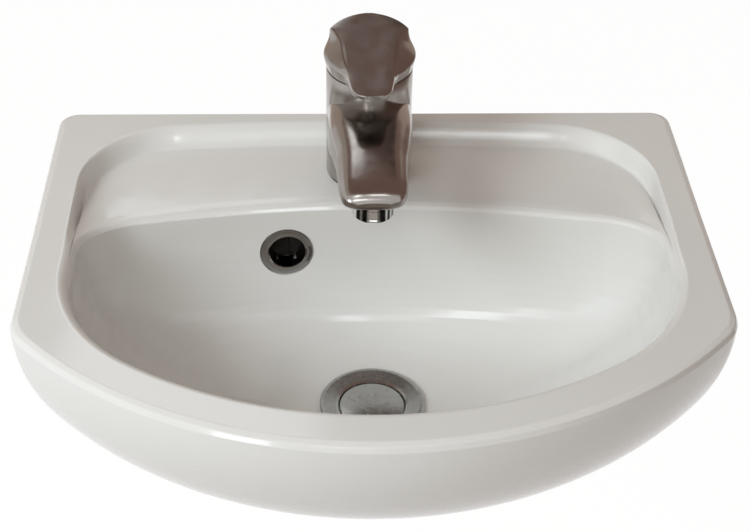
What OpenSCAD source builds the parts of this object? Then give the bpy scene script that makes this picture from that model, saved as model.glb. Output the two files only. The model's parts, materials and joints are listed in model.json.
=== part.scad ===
// Wall-hung washbasin with a single-lever mixer and a click waste.
// The origin is in the wall plane, midway between the two wall fixings.
// +X is to the right, the wall is the plane y = 0, the bowl reaches out along -Y and +Z is up.

/* [Basin] */
// Overall width
basin_w = 400; // [370:5:460]
// Overall depth, wall to front
basin_d = 320; // [300:5:380]
// Width of the flat rim at the sides
rim_side = 20; // [17:1:28]
// Width of the flat rim at the front
rim_front = 22; // [18:1:30]
// Width of the flat rim along the wall
rim_back = 13; // [10:1:16]
// Radius of the rim's outer roll
rim_roll = 4.5; // [3:0.5:6]
// How far the tap deck lies below the rim
deck_drop = 12; // [9:1:16]
// Depth of the tap deck, wall to bowl
deck_len = 88; // [84:1:100]
// Ceramic thickness under the tap
deck_t = 15; // [12:1:20]
// Depth of the bowl, rim to floor
bowl_depth = 103; // [95:1:115]
// Ceramic thickness under the bowl's floor
floor_t = 12; // [10:1:16]
// Radius of the skirt's inward curve
skirt_r = 107; // [96:1:118]
// Height of the panel against the wall
back_h = 134; // [128:1:150]
// Length of the collar under the bowl's floor
collar_len = 40; // [36:1:50]
// Outside diameter of the collar
collar_d = 84; // [76:1:96]
// Radius of the front arc of the basin
front_r = 257; // [245:1:300]
// Radius of the basin's side corners
side_r = 30; // [20:1:50]
// Radius of the basin's corners at the wall
wall_corner_r = 12; // [8:1:20]

/* [Wall fixing] */
// How far the fixings lie below the rim
fixing_drop = 72; // [66:1:80]
// Distance between the two fixings
fixing_spacing = 180; // [150:5:200]
// Hole for a wall bolt
fixing_hole_d = 14; // [12:1:16]
// Ceramic thickness of the wall panel
panel_t = 12; // [10:1:15]

/* [Overflow] */
// Centre of the overflow, left of the middle
overflow_left = 52; // [46:1:60]
// Centre of the overflow below the rim
overflow_drop = 46; // [42:1:52]
// Diameter of the trim ring's flange
overflow_ring_d = 33; // [30:0.5:36]
// Opening of the trim ring
overflow_bore_d = 21.7; // [18:0.1:23]
// Width of the passage inside the ceramic
duct_w = 22; // [16:1:24]

/* [Tap] */
// Distance of the tap's axis from the wall
tap_from_wall = 50; // [46:1:54]
// Tap hole in the deck
tap_hole_d = 35; // [33:0.5:37]
// Diameter of the tap's column
column_d = 53; // [50:0.5:58]
// Height of the column above the deck
column_h = 74.5; // [70:0.5:84]
// Distance from the tap's axis to the aerator
reach = 91; // [80:1:105]
// Height of the aerator's lower edge above the deck
outlet_h = 29; // [26:0.5:32]
// Width of the spout at the nose
nose_w = 40; // [36:0.5:46]
// Largest diameter of the handle's cap
cap_d = 57; // [54:0.5:60]
// Distance from the tap's axis to the lever's tip
lever_reach = 47.5; // [42:0.5:60]
// Width of the lever at the tip
tip_w = 24; // [20:0.5:32]
// Angle through which the lever lifts
lift_angle = 25; // [18:1:28]
// Diameter of the cartridge
cartridge_d = 35; // [34:0.5:36]
// Outside diameter of the aerator
aerator_d = 23.6; // [22:0.1:25]
// Diameter of the mounting stud
stud_d = 8; // [6:0.5:10]
// Diameter of the inlet threads
inlet_d = 10; // [8:0.5:11]

/* [Waste] */
// Distance of the waste from the wall
waste_from_wall = 174; // [168:1:186]
// Hole in the ceramic for the waste
waste_hole_d = 46; // [44:0.5:50]
// Diameter of the waste's flange
flange_d = 63.5; // [60:0.5:68]
// Diameter of the closing cap
plug_d = 40.4; // [36:0.2:42]
// Thread diameter of the waste's tail
tail_d = 41.9; // [40:0.1:43]
// Length of the waste below its flange
waste_len = 76; // [72:1:110]
// Travel of the closing cap
plug_travel = 9; // [6:0.5:12]

/* [Fits] */
// Radial clearance of a part that turns or slides in its bore
running = 0.05; // [0.02:0.01:0.1]
// Gap between pieces that pass each other
gap = 0.4; // [0.3:0.05:0.6]

/* [Hidden] */

// Heights below are measured from the rim, and at_rim() moves them to the origin at the wall fixings.
half_w = basin_w / 2;
deck_z = -deck_drop;
floor_z = -bowl_depth;
under_z = floor_z - floor_t;
collar_z = floor_z - collar_len;
waste_y = -waste_from_wall;
tap_y = -tap_from_wall;
fine = 96;
medium = 48;

module at_rim() {
    translate([0, 0, fixing_drop]) children();
}
module at_tap() {
    translate([0, tap_y, fixing_drop]) children();
}
module at_waste() {
    translate([0, waste_y, fixing_drop]) children();
}
module ring(outer, inner, z0, z1) {
    rotate_extrude($fn = fine) translate([inner, z0]) square([outer - inner, z1 - z0]);
}
module hex(across, z0, z1) {
    translate([0, 0, z0]) cylinder(h = z1 - z0, d = across / cos(30), $fn = 6);
}

function mix(a, b, t) = a + (b - a) * t;
function smooth(t) = let (u = min(1, max(0, t))) u * u * (3 - 2 * u);
function sign_pow(v, e) = sign(v) * pow(abs(v), e);
function arc(c, r, a0, a1, n) =
    [for (i = [0 : n - 1]) let (a = mix(a0, a1, i / n)) c + r * [cos(a), sin(a)]];
function line(a, b, n) = [for (i = [0 : n - 1]) mix(a, b, i / n)];

// A closed solid through a stack of rings with equal point counts, each end closed from its middle point
module loft(rings, first_mid, last_mid) {
    n = len(rings[0]);
    m = len(rings);
    sides = [for (k = [0 : m - 2], i = [0 : n - 1]) let (j = (i + 1) % n)
        each [[k * n + i, k * n + j, (k + 1) * n + i], [k * n + j, (k + 1) * n + j, (k + 1) * n + i]]];
    first = [for (i = [0 : n - 1]) [m * n, (i + 1) % n, i]];
    last = [for (i = [0 : n - 1]) [m * n + 1, (m - 1) * n + i, (m - 1) * n + (i + 1) % n]];
    polyhedron([for (r = rings) each r, first_mid, last_mid], concat(sides, first, last), convexity = 8);
}

// Point counts along one half of a D-shaped outline
n_back = 15;
n_corner = 7;
n_side = 5;
n_bend = 7;
n_front = 16;
n_ring = 2 * (n_back + n_corner + n_side + n_bend + n_front);

// One half of the outline, from the middle of its back round to the middle of its front:
// a straight or bowed back, a corner, a side, a tighter bend and the big front arc, all tangent
function half_outline(w, back, front, r_back, r_side, r_front, bow) =
    let (
        front_c = [0, front + r_front],
        side_c = [w - r_side, front_c.y - sqrt(pow(r_front - r_side, 2) - pow(w - r_side, 2))],
        side_a = atan2(side_c.y - front_c.y, side_c.x - front_c.x),
        back_c = bow == 0 ? [w - r_back, back - r_back]
            : [w - r_back, back - bow + sqrt(pow(bow - r_back, 2) - pow(w - r_back, 2))],
        back_a = bow == 0 ? 90 : atan2(back_c.y - back + bow, back_c.x)
    )
    concat(
        bow == 0 ? line([0, back], [w - r_back, back], n_back) : arc([0, back - bow], bow, 90, back_a, n_back),
        arc(back_c, r_back, back_a, 0, n_corner),
        line([w, back_c.y], [w, side_c.y], n_side),
        arc(side_c, r_side, 0, side_a, n_bend),
        arc(front_c, r_front, side_a, -90, n_front)
    );
function outline(w, back, front, r_back, r_side, r_front, bow = 0) =
    let (h = half_outline(w, back, front, r_back, r_side, r_front, bow))
    concat(h, [[0, front]], [for (i = [len(h) - 1 : -1 : 1]) [-h[i].x, h[i].y]]);

// Gives an outline its height: side_z over the bowl's sides and front, back_z towards the wall
function lift(shape, side_z, back_z, from_y, to_y) =
    [for (p = shape) [p.x, p.y, mix(side_z, back_z, smooth((p.y - from_y) / (to_y - from_y)))]];
function around_waste(shape, r, z) =
    [for (p = shape) let (d = [p.x, p.y - waste_y]) [r * d.x / norm(d), waste_y + r * d.y / norm(d), z]];

// The bowl's upper edge, the deck and the rim, from the inside out
inner_w = half_w - rim_side;
inner_front = -basin_d + rim_front;
inner_r = front_r - rim_front;
inner_side_r = inner_w * 0.58;
edge_bow = 615;
deck_bow = 1500;
step_len = 8;
edge_from = -deck_len - 62;
edge_to = -deck_len - 6;
function inside(inset, back, r_back, side_z, back_z, bow) =
    lift(outline(inner_w - inset, back, inner_front + inset, r_back, inner_side_r - inset, inner_r - inset, bow),
        side_z, back_z, edge_from, edge_to);
edge = inside(7, -deck_len - 1.6, 42, -7, deck_z - 1.8, edge_bow);
deck_edge = inside(5.4, -deck_len + 1, 43, -3.2, deck_z - 0.3, edge_bow);
deck_back = inside(4.2, -rim_back - step_len, 60, -1.8, deck_z, deck_bow);
step_mid = inside(2, -rim_back - step_len * 0.5, 62, -0.6, deck_z * 0.62, deck_bow);
step_top = inside(1, -rim_back - step_len * 0.2, 63, -0.2, deck_z * 0.14, deck_bow);
rim_inner = inside(0, -rim_back, 64, 0, 0, deck_bow);
function outside(inset, side_z, back_inset, back_z) =
    lift(outline(half_w - inset, -back_inset, -basin_d + inset, wall_corner_r - back_inset, side_r, front_r - inset),
        side_z, back_z, -150, -20);
// The rim's outer roll, from its top at 0 to the skirt at 90 degrees; it is slighter along the wall
function rim_edge(a) = outside(rim_roll * (1 - sin(a)), -rim_roll * (1 - cos(a)), 2.2 * (1 - sin(a)), -2.4 * (1 - cos(a)));

// The bowl falls from its edge to a round floor along quarter superellipses, steeper towards the wall
floor_r = flange_d / 2 + 6;
side_power = 2.1;
wall_power = 3.2;
function bowl_ring(u) = let (foot = around_waste(edge, floor_r, floor_z)) [
    for (i = [0 : n_ring - 1]) let (
        p = mix(side_power, wall_power, smooth((edge[i].y + deck_len + 87) / 80)),
        out = pow(cos(u), 2 / p),
        down = pow(sin(u), 2 / p)
    ) [mix(foot[i].x, edge[i].x, out), mix(foot[i].y, edge[i].y, out), mix(edge[i].z, floor_z, down)]];

// The skirt curves inwards below the rim, and its lower edge drops towards the wall
skirt_top = -7;
skirt_turn = 76;
function skirt_inset(a) = skirt_r * (1 - cos(a));
function skirt(a) = let (s = skirt_inset(a))
    lift(outline(half_w - s, 0, -basin_d + s, wall_corner_r, side_r + s * 0.4, front_r - s),
        skirt_top - skirt_r * sin(a), mix(skirt_top, 3 - back_h, a / skirt_turn), -150, -15);
foot_inset = skirt_inset(skirt_turn) + 6;
foot = lift(outline(half_w - foot_inset, -3, -basin_d + foot_inset + 2, wall_corner_r, side_r + 30, front_r - foot_inset),
    skirt_top - skirt_r * sin(skirt_turn) - 3, -back_h, -150, -15);

// The overflow passage runs in the upright plane through the waste and the overflow
edge_sag = edge_bow - sqrt(pow(edge_bow, 2) - pow(overflow_left, 2));
overflow_y = -deck_len - edge_sag - 1.4;
overflow_yaw = asin(overflow_left / edge_bow);
overflow_pitch = 3;
duct_dir = [-overflow_left, overflow_y - waste_y];
duct_run = norm(duct_dir);
duct_angle = atan2(duct_dir.y, duct_dir.x);
duct_wall = 8;
duct_deep = 12;
duct_top = floor_z - 11;
duct_bottom = duct_top - duct_deep;
duct_near = duct_run + 5;
duct_far = duct_near + duct_deep;
duct_head = -overflow_drop + overflow_ring_d / 2 - 2;
duct_void = [
    [12, duct_bottom], [duct_run - 13, duct_bottom], [duct_far - 12, duct_bottom + 16],
    [duct_far - 1, duct_bottom + 38], [duct_far, duct_head], [duct_near, duct_head],
    [duct_near - 1, -deck_drop - 58], [duct_near - 10, duct_top + 18], [duct_run - 21, duct_top + 2], [12, duct_top]
];
duct_shell = [
    [40, duct_bottom - duct_wall], [duct_run, duct_bottom - duct_wall], [duct_far + duct_wall, duct_bottom + 24],
    [duct_far + duct_wall, duct_head + duct_wall], [40, duct_head + duct_wall]
];
module duct(side, w) {
    translate([0, waste_y, 0])
        rotate([90, 0, duct_angle])
            translate([0, 0, -w / 2]) linear_extrude(w) polygon(side);
}

// Under the bowl a rounded ridge carries that passage from the collar to the room behind the bowl
ridge_half = duct_w / 2 + duct_wall;
ridge_round = duct_wall + 1;
module ridge() {
    low = duct_bottom - duct_wall + ridge_round;
    side = ridge_half - ridge_round;
    translate([0, waste_y, 0])
        rotate([90, 0, duct_angle + 90])
            linear_extrude(duct_far + duct_wall) polygon([
                [-ridge_half, duct_top], for (a = [180 : 15 : 270]) [-side, low] + ridge_round * [cos(a), sin(a)],
                for (a = [270 : 15 : 360]) [side, low] + ridge_round * [cos(a), sin(a)], [ridge_half, duct_top]
            ]);
}
under_r = collar_d / 2 + 9;
function under(q) = let (goal = around_waste(foot, under_r, under_z - 1))
    [for (i = [0 : n_ring - 1]) mix(foot[i], goal[i], q)];

// From the collar out over the underside and the skirt, across the rim and down into the bowl
basin_rings = [
    around_waste(foot, collar_d / 2, collar_z),
    around_waste(foot, collar_d / 2, under_z - 8),
    around_waste(foot, collar_d / 2 + 3, under_z - 3),
    for (q = [1 : -0.2 : 0.2]) under(q),
    foot,
    for (k = [8 : -1 : 0]) skirt(skirt_turn * k / 8),
    for (a = [90 : -22.5 : 0]) rim_edge(a),
    rim_inner, step_top, step_mid, deck_back, deck_edge, edge,
    for (u = [8 : 9 : 80]) bowl_ring(u),
    around_waste(edge, floor_r, floor_z)
];

// The room behind the bowl, open below, for the tap's tail, the hoses and the wall bolts' nuts
hollow_front = deck_len - 15;
hollow_top = deck_z - deck_t;
hollow_half = fixing_spacing / 2 + 28;
hollow_low = collar_z - 30;
module hollow() {
    intersection() {
        rotate([90, 0, 90])
            translate([0, 0, -half_w]) linear_extrude(basin_w) polygon([
                [-panel_t, hollow_top], [-hollow_front, hollow_top], [-hollow_front - 1, hollow_top - 34],
                [-hollow_front - 11, floor_z + 11], [-hollow_front - 31, under_z + 5],
                [-hollow_front - 31, hollow_low], [-panel_t, hollow_low]
            ]);
        rotate([90, 0, 0])
            linear_extrude(basin_d) polygon([
                for (s = [1, -1], p = s > 0 ? [0, 1, 2, 3] : [3, 2, 1, 0])
                    [s * [hollow_half, hollow_half, half_w - 48, half_w - 28][p],
                        [hollow_low, under_z + 20, under_z + 46, hollow_top + 1][p]]
            ]);
    }
}
module at_overflow() {
    translate([-overflow_left, overflow_y, -overflow_drop])
        rotate([90 - overflow_pitch, 0, overflow_yaw]) children();
}
overflow_hole_r = overflow_bore_d / 2 + 1.4;
module basin() {
    color("white") at_rim() difference() {
        union() {
            loft(basin_rings, [0, waste_y, collar_z], [0, waste_y, floor_z]);
            ridge();
        }
        difference() {
            hollow();
            duct(duct_shell, duct_w + 2 * duct_wall);
        }
        duct(duct_void, duct_w);
        translate([0, waste_y, collar_z - 1]) cylinder(h = collar_len + 20, d = waste_hole_d, $fn = fine);
        translate([0, tap_y, hollow_top - 5]) cylinder(h = deck_t + 20, d = tap_hole_d, $fn = fine);
        at_overflow() translate([0, 0, -18]) cylinder(h = 30, r = overflow_hole_r, $fn = fine);
        at_overflow() cylinder(h = 12, d = overflow_ring_d + 1, $fn = fine);
        for (s = [-1, 1])
            translate([s * fixing_spacing / 2, 1, -fixing_drop])
                rotate([90, 0, 0]) cylinder(h = panel_t + 4, d = fixing_hole_d, $fn = medium);
    }
}

// The trim ring: a rounded flange on the bowl's wall and a slit tube in the hole
ring_tube = 11;
module overflow_ring() {
    r = overflow_bore_d / 2;
    outer = overflow_ring_d / 2;
    tube = overflow_hole_r - 0.1;
    color("lightgray") at_rim() at_overflow() difference() {
        rotate_extrude($fn = fine) polygon([
            [r, -ring_tube], [tube, -ring_tube], [tube, 0], [outer - 0.5, 0],
            for (a = [0 : 30 : 90]) [outer - 0.8 + 0.8 * cos(a), 0.8 + 0.8 * sin(a)],
            [outer - 2.5, 1.9], for (a = [60 : 30 : 180]) [r + 1.2 + 1.2 * cos(a), 0.8 + 1.2 * sin(a)]
        ]);
        for (a = [0 : 60 : 150]) rotate([0, 0, a]) translate([-outer, -1, -ring_tube - 1]) cube([2 * outer, 2, 7]);
    }
}

// Heights of the tap, from the rim
gasket_t = 1.5;
body_z = deck_z + gasket_t;
body_top = deck_z + column_h;
ball_drop = 7;
pin_drop = 8.5;
pivot_z = body_top - pin_drop;
housing_deep = 24;
housing_foot = pivot_z - housing_deep;
seal_t = 1.5;
cavity_z = housing_foot - seal_t;
disc_deep = 18;
disc_z = pivot_z - disc_deep;
disc_t = 4;
upper_t = 3;
driver_z = disc_z + disc_t + upper_t;
shoulder_drop = 6.5;
shoulder_t = 1.5;
neck_up = 3;
shoulder_z = pivot_z - shoulder_drop;
ceiling_z = shoulder_z - shoulder_t;
neck_top = pivot_z + neck_up;
cartridge_r = cartridge_d / 2;
neck_r = cartridge_r - 4;
nut_r = cartridge_r + 2;
outlet_z = deck_z + outlet_h;
aerator_y = -reach;
nose_z = outlet_z + 8.4;
cover_r = norm([column_d / 2 - 1, body_top - pivot_z]);

// A rounded-box section of the spout, upright across its run
n_sec = 28;
function spout_section(y, half, low, high, power) = [for (i = [0 : n_sec - 1]) let (a = -360 * i / n_sec)
    [half * sign_pow(cos(a), 2 / power), y, (low + high) / 2 + (high - low) / 2 * sign_pow(sin(a), 2 / power)]];
nose_tip = aerator_y - aerator_d / 2 - 2.8;
function along(t) = mix(-column_d / 2, nose_tip, t);
spout_top = body_top - 13;
spout_half = column_d / 2 - 1;
spout_rings = [
    spout_section(-2, column_d / 2 - 0.3, body_z + 12, spout_top - 2, 4),
    spout_section(along(0), column_d / 2 - 0.5, body_z + 19, spout_top, 4),
    spout_section(along(0.15), mix(spout_half, nose_w / 2, 0.05), nose_z - 8, spout_top - 0.5, 3.8),
    spout_section(along(0.35), mix(spout_half, nose_w / 2, 0.4), nose_z - 5, spout_top - 1.7, 3.6),
    spout_section(along(0.5), mix(spout_half, nose_w / 2, 0.74), nose_z - 3, spout_top - 3.2, 3.5),
    spout_section(along(0.7), mix(spout_half, nose_w / 2, 0.92), nose_z - 1.2, spout_top - 5.2, 3.4),
    spout_section(along(0.85), nose_w / 2 - 0.1, nose_z - 0.2, spout_top - 6.8, 3.3),
    spout_section(along(0.93), nose_w / 2 - 0.9, nose_z + 0.4, spout_top - 7.8, 3.2),
    spout_section(along(0.97), nose_w / 2 - 2.2, nose_z + 1.1, spout_top - 8.8, 3),
    spout_section(along(0.99), nose_w / 2 - 4, nose_z + 2.2, spout_top - 10.2, 2.8),
    spout_section(along(1), nose_w / 2 - 7, nose_z + 4, spout_top - 12.2, 2.6)
];
water_r = 5.5;
inlet_at = 8.5;
inlet_mouth_d = 13.2;
inlet_z = body_z + 11.5;
inlet_len = 14;
feed_at = [7, 3];
outlet_at = -9;
stud_at = 13;
stud_in = 14;
water_z = cavity_z - 8;
module mixer_body() {
    color("silver") at_tap() difference() {
        union() {
            rotate_extrude($fn = fine) polygon([
                [0, body_z], [column_d / 2 - 0.6, body_z], [column_d / 2, body_z + 0.6],
                [column_d / 2, body_top - 0.8], [column_d / 2 - 0.8, body_top], [0, body_top]
            ]);
            loft(spout_rings, [0, -2, nose_z + 8], [0, nose_tip, nose_z + 8]);
        }
        translate([0, 0, cavity_z]) cylinder(h = 80, r = cartridge_r + 0.2, $fn = fine);
        translate([0, 0, shoulder_z - 2]) cylinder(h = 60, r = nut_r, $fn = fine);
        for (s = [-1, 1]) {
            translate([s * inlet_at, 0, body_z - 1])
                cylinder(h = inlet_z - body_z + 1, d = inlet_mouth_d, $fn = medium);
            translate([s * inlet_at, 0, inlet_z - 1]) cylinder(h = inlet_len + 1, d = inlet_d, $fn = medium);
            translate([s * feed_at.x, feed_at.y, inlet_z + inlet_len - 0.5])
                cylinder(h = cavity_z - inlet_z - inlet_len + 1, r = 3, $fn = medium);
        }
        translate([0, stud_at, body_z - 1]) cylinder(h = stud_in + 1, d = stud_d, $fn = medium);
        translate([0, outlet_at, water_z - water_r]) cylinder(h = 30, r = 3.5, $fn = medium);
        translate([0, outlet_at + 4, water_z])
            rotate([90 - atan2(nose_z + 9 - water_z, reach + outlet_at), 0, 0])
                cylinder(h = reach + outlet_at, r = water_r, $fn = medium);
        translate([0, aerator_y, outlet_z]) cylinder(h = nose_z - outlet_z + 12, d = aerator_d - 0.6, $fn = fine);
        translate([0, aerator_y, outlet_z - 8]) cylinder(h = nose_z - outlet_z + 8, d = aerator_d + gap, $fn = fine);
    }
}
module base_gasket() {
    color("dimgray") at_tap() ring(column_d / 2 - 1, tap_hole_d / 2 + 1, deck_z, body_z);
}

// The cartridge: a housing with two ceramic discs, a turning carrier and a tilting stem
port_at = [5.2, 3];
module ports(r, z0, h) {
    for (s = [-1, 1]) translate([s * port_at.x, port_at.y, z0]) cylinder(h = h, r = r, $fn = medium);
    translate([0, outlet_at + 2, z0]) cylinder(h = h, r = r + 0.5, $fn = medium);
}
room_r = cartridge_r - 2.5;
module cartridge_housing() {
    color("ivory") at_tap() difference() {
        rotate_extrude($fn = fine) polygon([
            [0, housing_foot], [cartridge_r, housing_foot], [cartridge_r, shoulder_z],
            [neck_r, shoulder_z], [neck_r, neck_top], [0, neck_top]
        ]);
        translate([0, 0, disc_z]) cylinder(h = ceiling_z - disc_z, r = room_r, $fn = fine);
        translate([0, 0, disc_z]) cylinder(h = 60, r = neck_r - 1.9, $fn = fine);
        ports(2.6, housing_foot - 1, 20);
    }
}
module cartridge_seals() {
    color("black") at_tap() {
        for (s = [-1, 1]) translate([s * port_at.x, port_at.y, 0]) ring(4.4, 2.9, cavity_z, housing_foot);
        translate([0, outlet_at + 2, 0]) ring(4.9, 3.3, cavity_z, housing_foot);
    }
}
module disc_lower() {
    color("white") at_tap() difference() {
        translate([0, 0, disc_z]) cylinder(h = disc_t, r = room_r - 0.1, $fn = fine);
        ports(2.4, disc_z - 1, disc_t + 2);
    }
}
// The ball is behind the axis while the lever is down, and the upper disc with it
stem_lean = lift_angle / 2;
ball_back = ball_drop * sin(stem_lean);
ball_z = pivot_z - ball_drop * cos(stem_lean);
upper_r = room_r - ball_back - 2;
module disc_upper() {
    color("gainsboro") at_tap() translate([0, ball_back, disc_z + disc_t]) difference() {
        cylinder(h = upper_t, r = upper_r, $fn = fine);
        translate([0, -2, -1]) cylinder(h = upper_t - 0.5, r = upper_r - 4.5, $fn = medium);
    }
}
driver_half = 5.5;
driver_top = ball_z + 1.2;
ball_r = 3;
module disc_driver() {
    color("orange") at_tap() translate([0, ball_back, 0]) difference() {
        translate([-driver_half, -driver_half, driver_z]) cube([2 * driver_half, 2 * driver_half, driver_top - driver_z]);
        translate([0, 0, driver_z + 0.8]) cylinder(h = 20, r = ball_r + 0.35, $fn = medium);
    }
}
stem_half = 4;
pin_r = 2;
carrier_r = neck_r - 1.9 - running;
module stem_carrier() {
    low = driver_z + gap;
    slide = driver_half + ball_back + gap;
    slot = stem_half + (neck_top - pivot_z) * sin(stem_lean) + 1.6;
    color("seagreen") at_tap() difference() {
        union() {
            translate([0, 0, low]) cylinder(h = ceiling_z - gap - low, r = room_r - 0.3, $fn = fine);
            translate([0, 0, low]) cylinder(h = neck_top - low, r = carrier_r, $fn = fine);
        }
        translate([-driver_half - gap, -slide, driver_z - 1])
            cube([2 * (driver_half + gap), 2 * slide, driver_top + 1 + gap - driver_z]);
        translate([-stem_half - gap, -slot, driver_z]) cube([2 * (stem_half + gap), 2 * slot, 40]);
        translate([-20, 0, pivot_z]) rotate([0, 90, 0]) cylinder(h = 40, r = pin_r, $fn = medium);
    }
}
pin_half = carrier_r - 0.9;
module stem_pin() {
    color("slategray") at_tap() translate([-pin_half, 0, pivot_z])
        rotate([0, 90, 0]) cylinder(h = 2 * pin_half, r = pin_r, $fn = medium);
}
// The stem's own frame has its origin on the pin, and leans towards the lever's tip
module at_stem() {
    translate([0, tap_y, fixing_drop + pivot_z]) rotate([stem_lean, 0, 0]) children();
}
stem_len = 22;
module cartridge_stem() {
    color("slategray") at_stem() difference() {
        union() {
            translate([-stem_half, -stem_half, -3.4]) cube([2 * stem_half, 2 * stem_half, stem_len + 3.4]);
            translate([0, 0, -ball_drop]) sphere(ball_r, $fn = medium);
            translate([0, 0, -ball_drop]) cylinder(h = ball_drop, r = 2.2, $fn = medium);
        }
        translate([-20, 0, 0]) rotate([0, 90, 0]) cylinder(h = 40, r = pin_r + running, $fn = medium);
    }
}
nut_z = shoulder_z;
nut_top = pivot_z + 5.5;
module cartridge_nut() {
    color("goldenrod") at_tap() difference() {
        union() {
            translate([0, 0, nut_z]) cylinder(h = pivot_z + 1 - nut_z, r = nut_r, $fn = fine);
            hex(2 * (nut_r - 2.6), pivot_z, nut_top);
        }
        translate([0, 0, nut_z - 1]) cylinder(h = 40, r = neck_r + 0.1, $fn = fine);
    }
}
// A spherical zone about the pin, so that the handle's inside can swing over it
cover_t = 1.6;
cover_h = 14;
module cartridge_cover() {
    base = body_top - pivot_z;
    low = asin(base / cover_r);
    low_in = asin(base / (cover_r - cover_t));
    high = asin(cover_h / cover_r);
    high_in = asin(cover_h / (cover_r - cover_t));
    color("whitesmoke") at_tap() translate([0, 0, pivot_z]) rotate_extrude($fn = fine) polygon([
        for (k = [0 : 6]) let (a = mix(low, high, k / 6)) cover_r * [cos(a), sin(a)],
        for (k = [0 : 6]) let (a = mix(high_in, low_in, k / 6)) (cover_r - cover_t) * [cos(a), sin(a)]
    ]);
}

// The handle: a drum with a round back, cut by a sloping plate that runs out into the lever
cap_r = cap_d / 2;
cap_z = body_top + 2;
crown_z = cap_z + 20;
tip_top = cap_z + 5;
waist_z = cap_z + 8.5;
lever_half = tip_w / 2;
function plate_z(y) = mix(tip_top, crown_z, (y + lever_reach) / (cap_r + lever_reach));
function round_half(y) = sqrt(max(1, cap_r * cap_r - y * y));

// y from the axis, half width, underside, height of the widest point, half width of the plate
function handle_section(s) = let (
        y = s[0],
        half = s[1],
        low = s[2],
        waist = s[3],
        face = s[4],
        high = plate_z(y),
        soft = min(1, (high - low) / 9),
        lip = 0.9 * min(1, face / 7),
        right = [
            [face * 0.5, high - 0.4 * soft], [face - lip, high - 0.1 * soft], [face, high - 0.7 * soft],
            [mix(face, half, 0.55), mix(high - 0.7 * soft, waist, 0.45)], [half - 0.25 * lip, waist + 1.3 * soft],
            [half, waist - soft], [half * 0.975, mix(waist, low, 0.6)], [half * 0.93, low + 0.9 * soft],
            [half * 0.93 - lip, low], [half * 0.45, low]
        ]
    )
    [for (p = concat([[0, high - 0.5 * soft]], right, [[0, low]], [for (i = [9 : -1 : 0]) [-right[i].x, right[i].y]]))
        [p.x, y, p.y]];
handle_stations = [
    for (y = [cap_r - 0.3, cap_r - 1.5, cap_r - 4, cap_r - 8.5, cap_r * 0.505])
        [y, round_half(y), cap_z, waist_z, round_half(y) - 0.4],
    [cap_r * 0.43, round_half(cap_r * 0.43), cap_z, waist_z, lever_half + 10.9],
    [cap_r * 0.35, round_half(cap_r * 0.35), cap_z, waist_z, lever_half + 9.4],
    [cap_r * 0.26, round_half(cap_r * 0.26), cap_z, waist_z, lever_half + 7.9],
    [cap_r * 0.17, round_half(cap_r * 0.17), cap_z, waist_z, lever_half + 6.6],
    [0, cap_r, cap_z, waist_z, lever_half + 5],
    [-cap_r * 0.25, round_half(cap_r * 0.25), cap_z, waist_z - 0.5, lever_half + 4],
    [-cap_r * 0.5, round_half(cap_r * 0.5), cap_z, waist_z - 1, lever_half + 3.3],
    [-cap_r * 0.7, round_half(cap_r * 0.7) + 0.3, cap_z, waist_z - 1.6, lever_half + 2.7],
    [-cap_r * 0.84, lever_half + 5, cap_z + 0.1, waist_z - 2.4, lever_half + 2.2],
    [-cap_r, lever_half + 2.6, cap_z + 0.4, waist_z - 3, lever_half + 1.6],
    [-mix(cap_r, lever_reach, 0.35), lever_half + 1.4, cap_z + 1, waist_z - 3.6, lever_half + 0.7],
    [-mix(cap_r, lever_reach, 0.65), lever_half + 0.2, cap_z + 1.6, waist_z - 4.2, lever_half - 0.5],
    [-mix(cap_r, lever_reach, 0.85), lever_half - 2, cap_z + 2, waist_z - 4.6, lever_half - 2.6],
    [-mix(cap_r, lever_reach, 0.95), lever_half - 4.8, cap_z + 2.2, waist_z - 4.8, lever_half - 5.3],
    [-lever_reach, lever_half - 8.4, cap_z + 2.5, waist_z - 4.9, lever_half - 8.8]
];
handle_rings = [for (s = handle_stations) handle_section(s)];
plate_tilt = atan2(crown_z - tip_top, cap_r + lever_reach);
plate_t = 3.2;
socket_from = 12;
socket_r = 8.5;
screw_up = 17;
screw_r = 2.5;
screw_len = 5;
screw_z = pivot_z + screw_up * cos(stem_lean);
screw_y = -screw_up * sin(stem_lean) + stem_half / cos(stem_lean) + screw_r * tan(stem_lean);
// The hollow inside: it clears the cover at every angle, and leaves the plate and a socket for the stem
module handle_room() {
    difference() {
        intersection() {
            sphere(cover_r + 0.6, $fn = fine);
            rotate([plate_tilt, 0, 0])
                translate([-cap_d, -cap_d, -cap_d])
                    cube([2 * cap_d, 2 * cap_d, cap_d + (plate_z(0) - pivot_z) * cos(plate_tilt) - plate_t]);
        }
        rotate([stem_lean, 0, 0]) translate([0, 0, socket_from]) cylinder(h = cover_r, r = socket_r, $fn = medium);
    }
}
module lever_handle() {
    color("silver") at_tap() difference() {
        loft(handle_rings, [0, cap_r - 0.3, waist_z], [0, -lever_reach, cap_z + 3.7]);
        translate([0, 0, pivot_z]) handle_room();
        translate([0, 0, pivot_z]) rotate([stem_lean, 0, 0])
            translate([-stem_half - 0.1, -stem_half - 0.1, socket_from - 1])
                cube([2 * stem_half + 0.2, 2 * stem_half + 0.2, stem_len - socket_from + 1.2]);
        // The back is cut away so that the cap clears the column when the lever is up
        translate([-cap_d, 0, pivot_z])
            rotate([lift_angle, 0, 0])
                translate([0, 0, body_top - pivot_z + gap - 30]) cube([2 * cap_d, cap_d, 30]);
        translate([0, screw_y, screw_z]) rotate([-90, 0, 0]) cylinder(h = 60, r = screw_r, $fn = medium);
    }
}
module handle_screw() {
    color("dimgray") at_tap() translate([0, screw_y, screw_z]) rotate([-90, 0, 0]) difference() {
        cylinder(h = screw_len, r = screw_r, $fn = medium);
        hex(2.5, screw_len - 2.5, screw_len + 1);
    }
}

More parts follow.
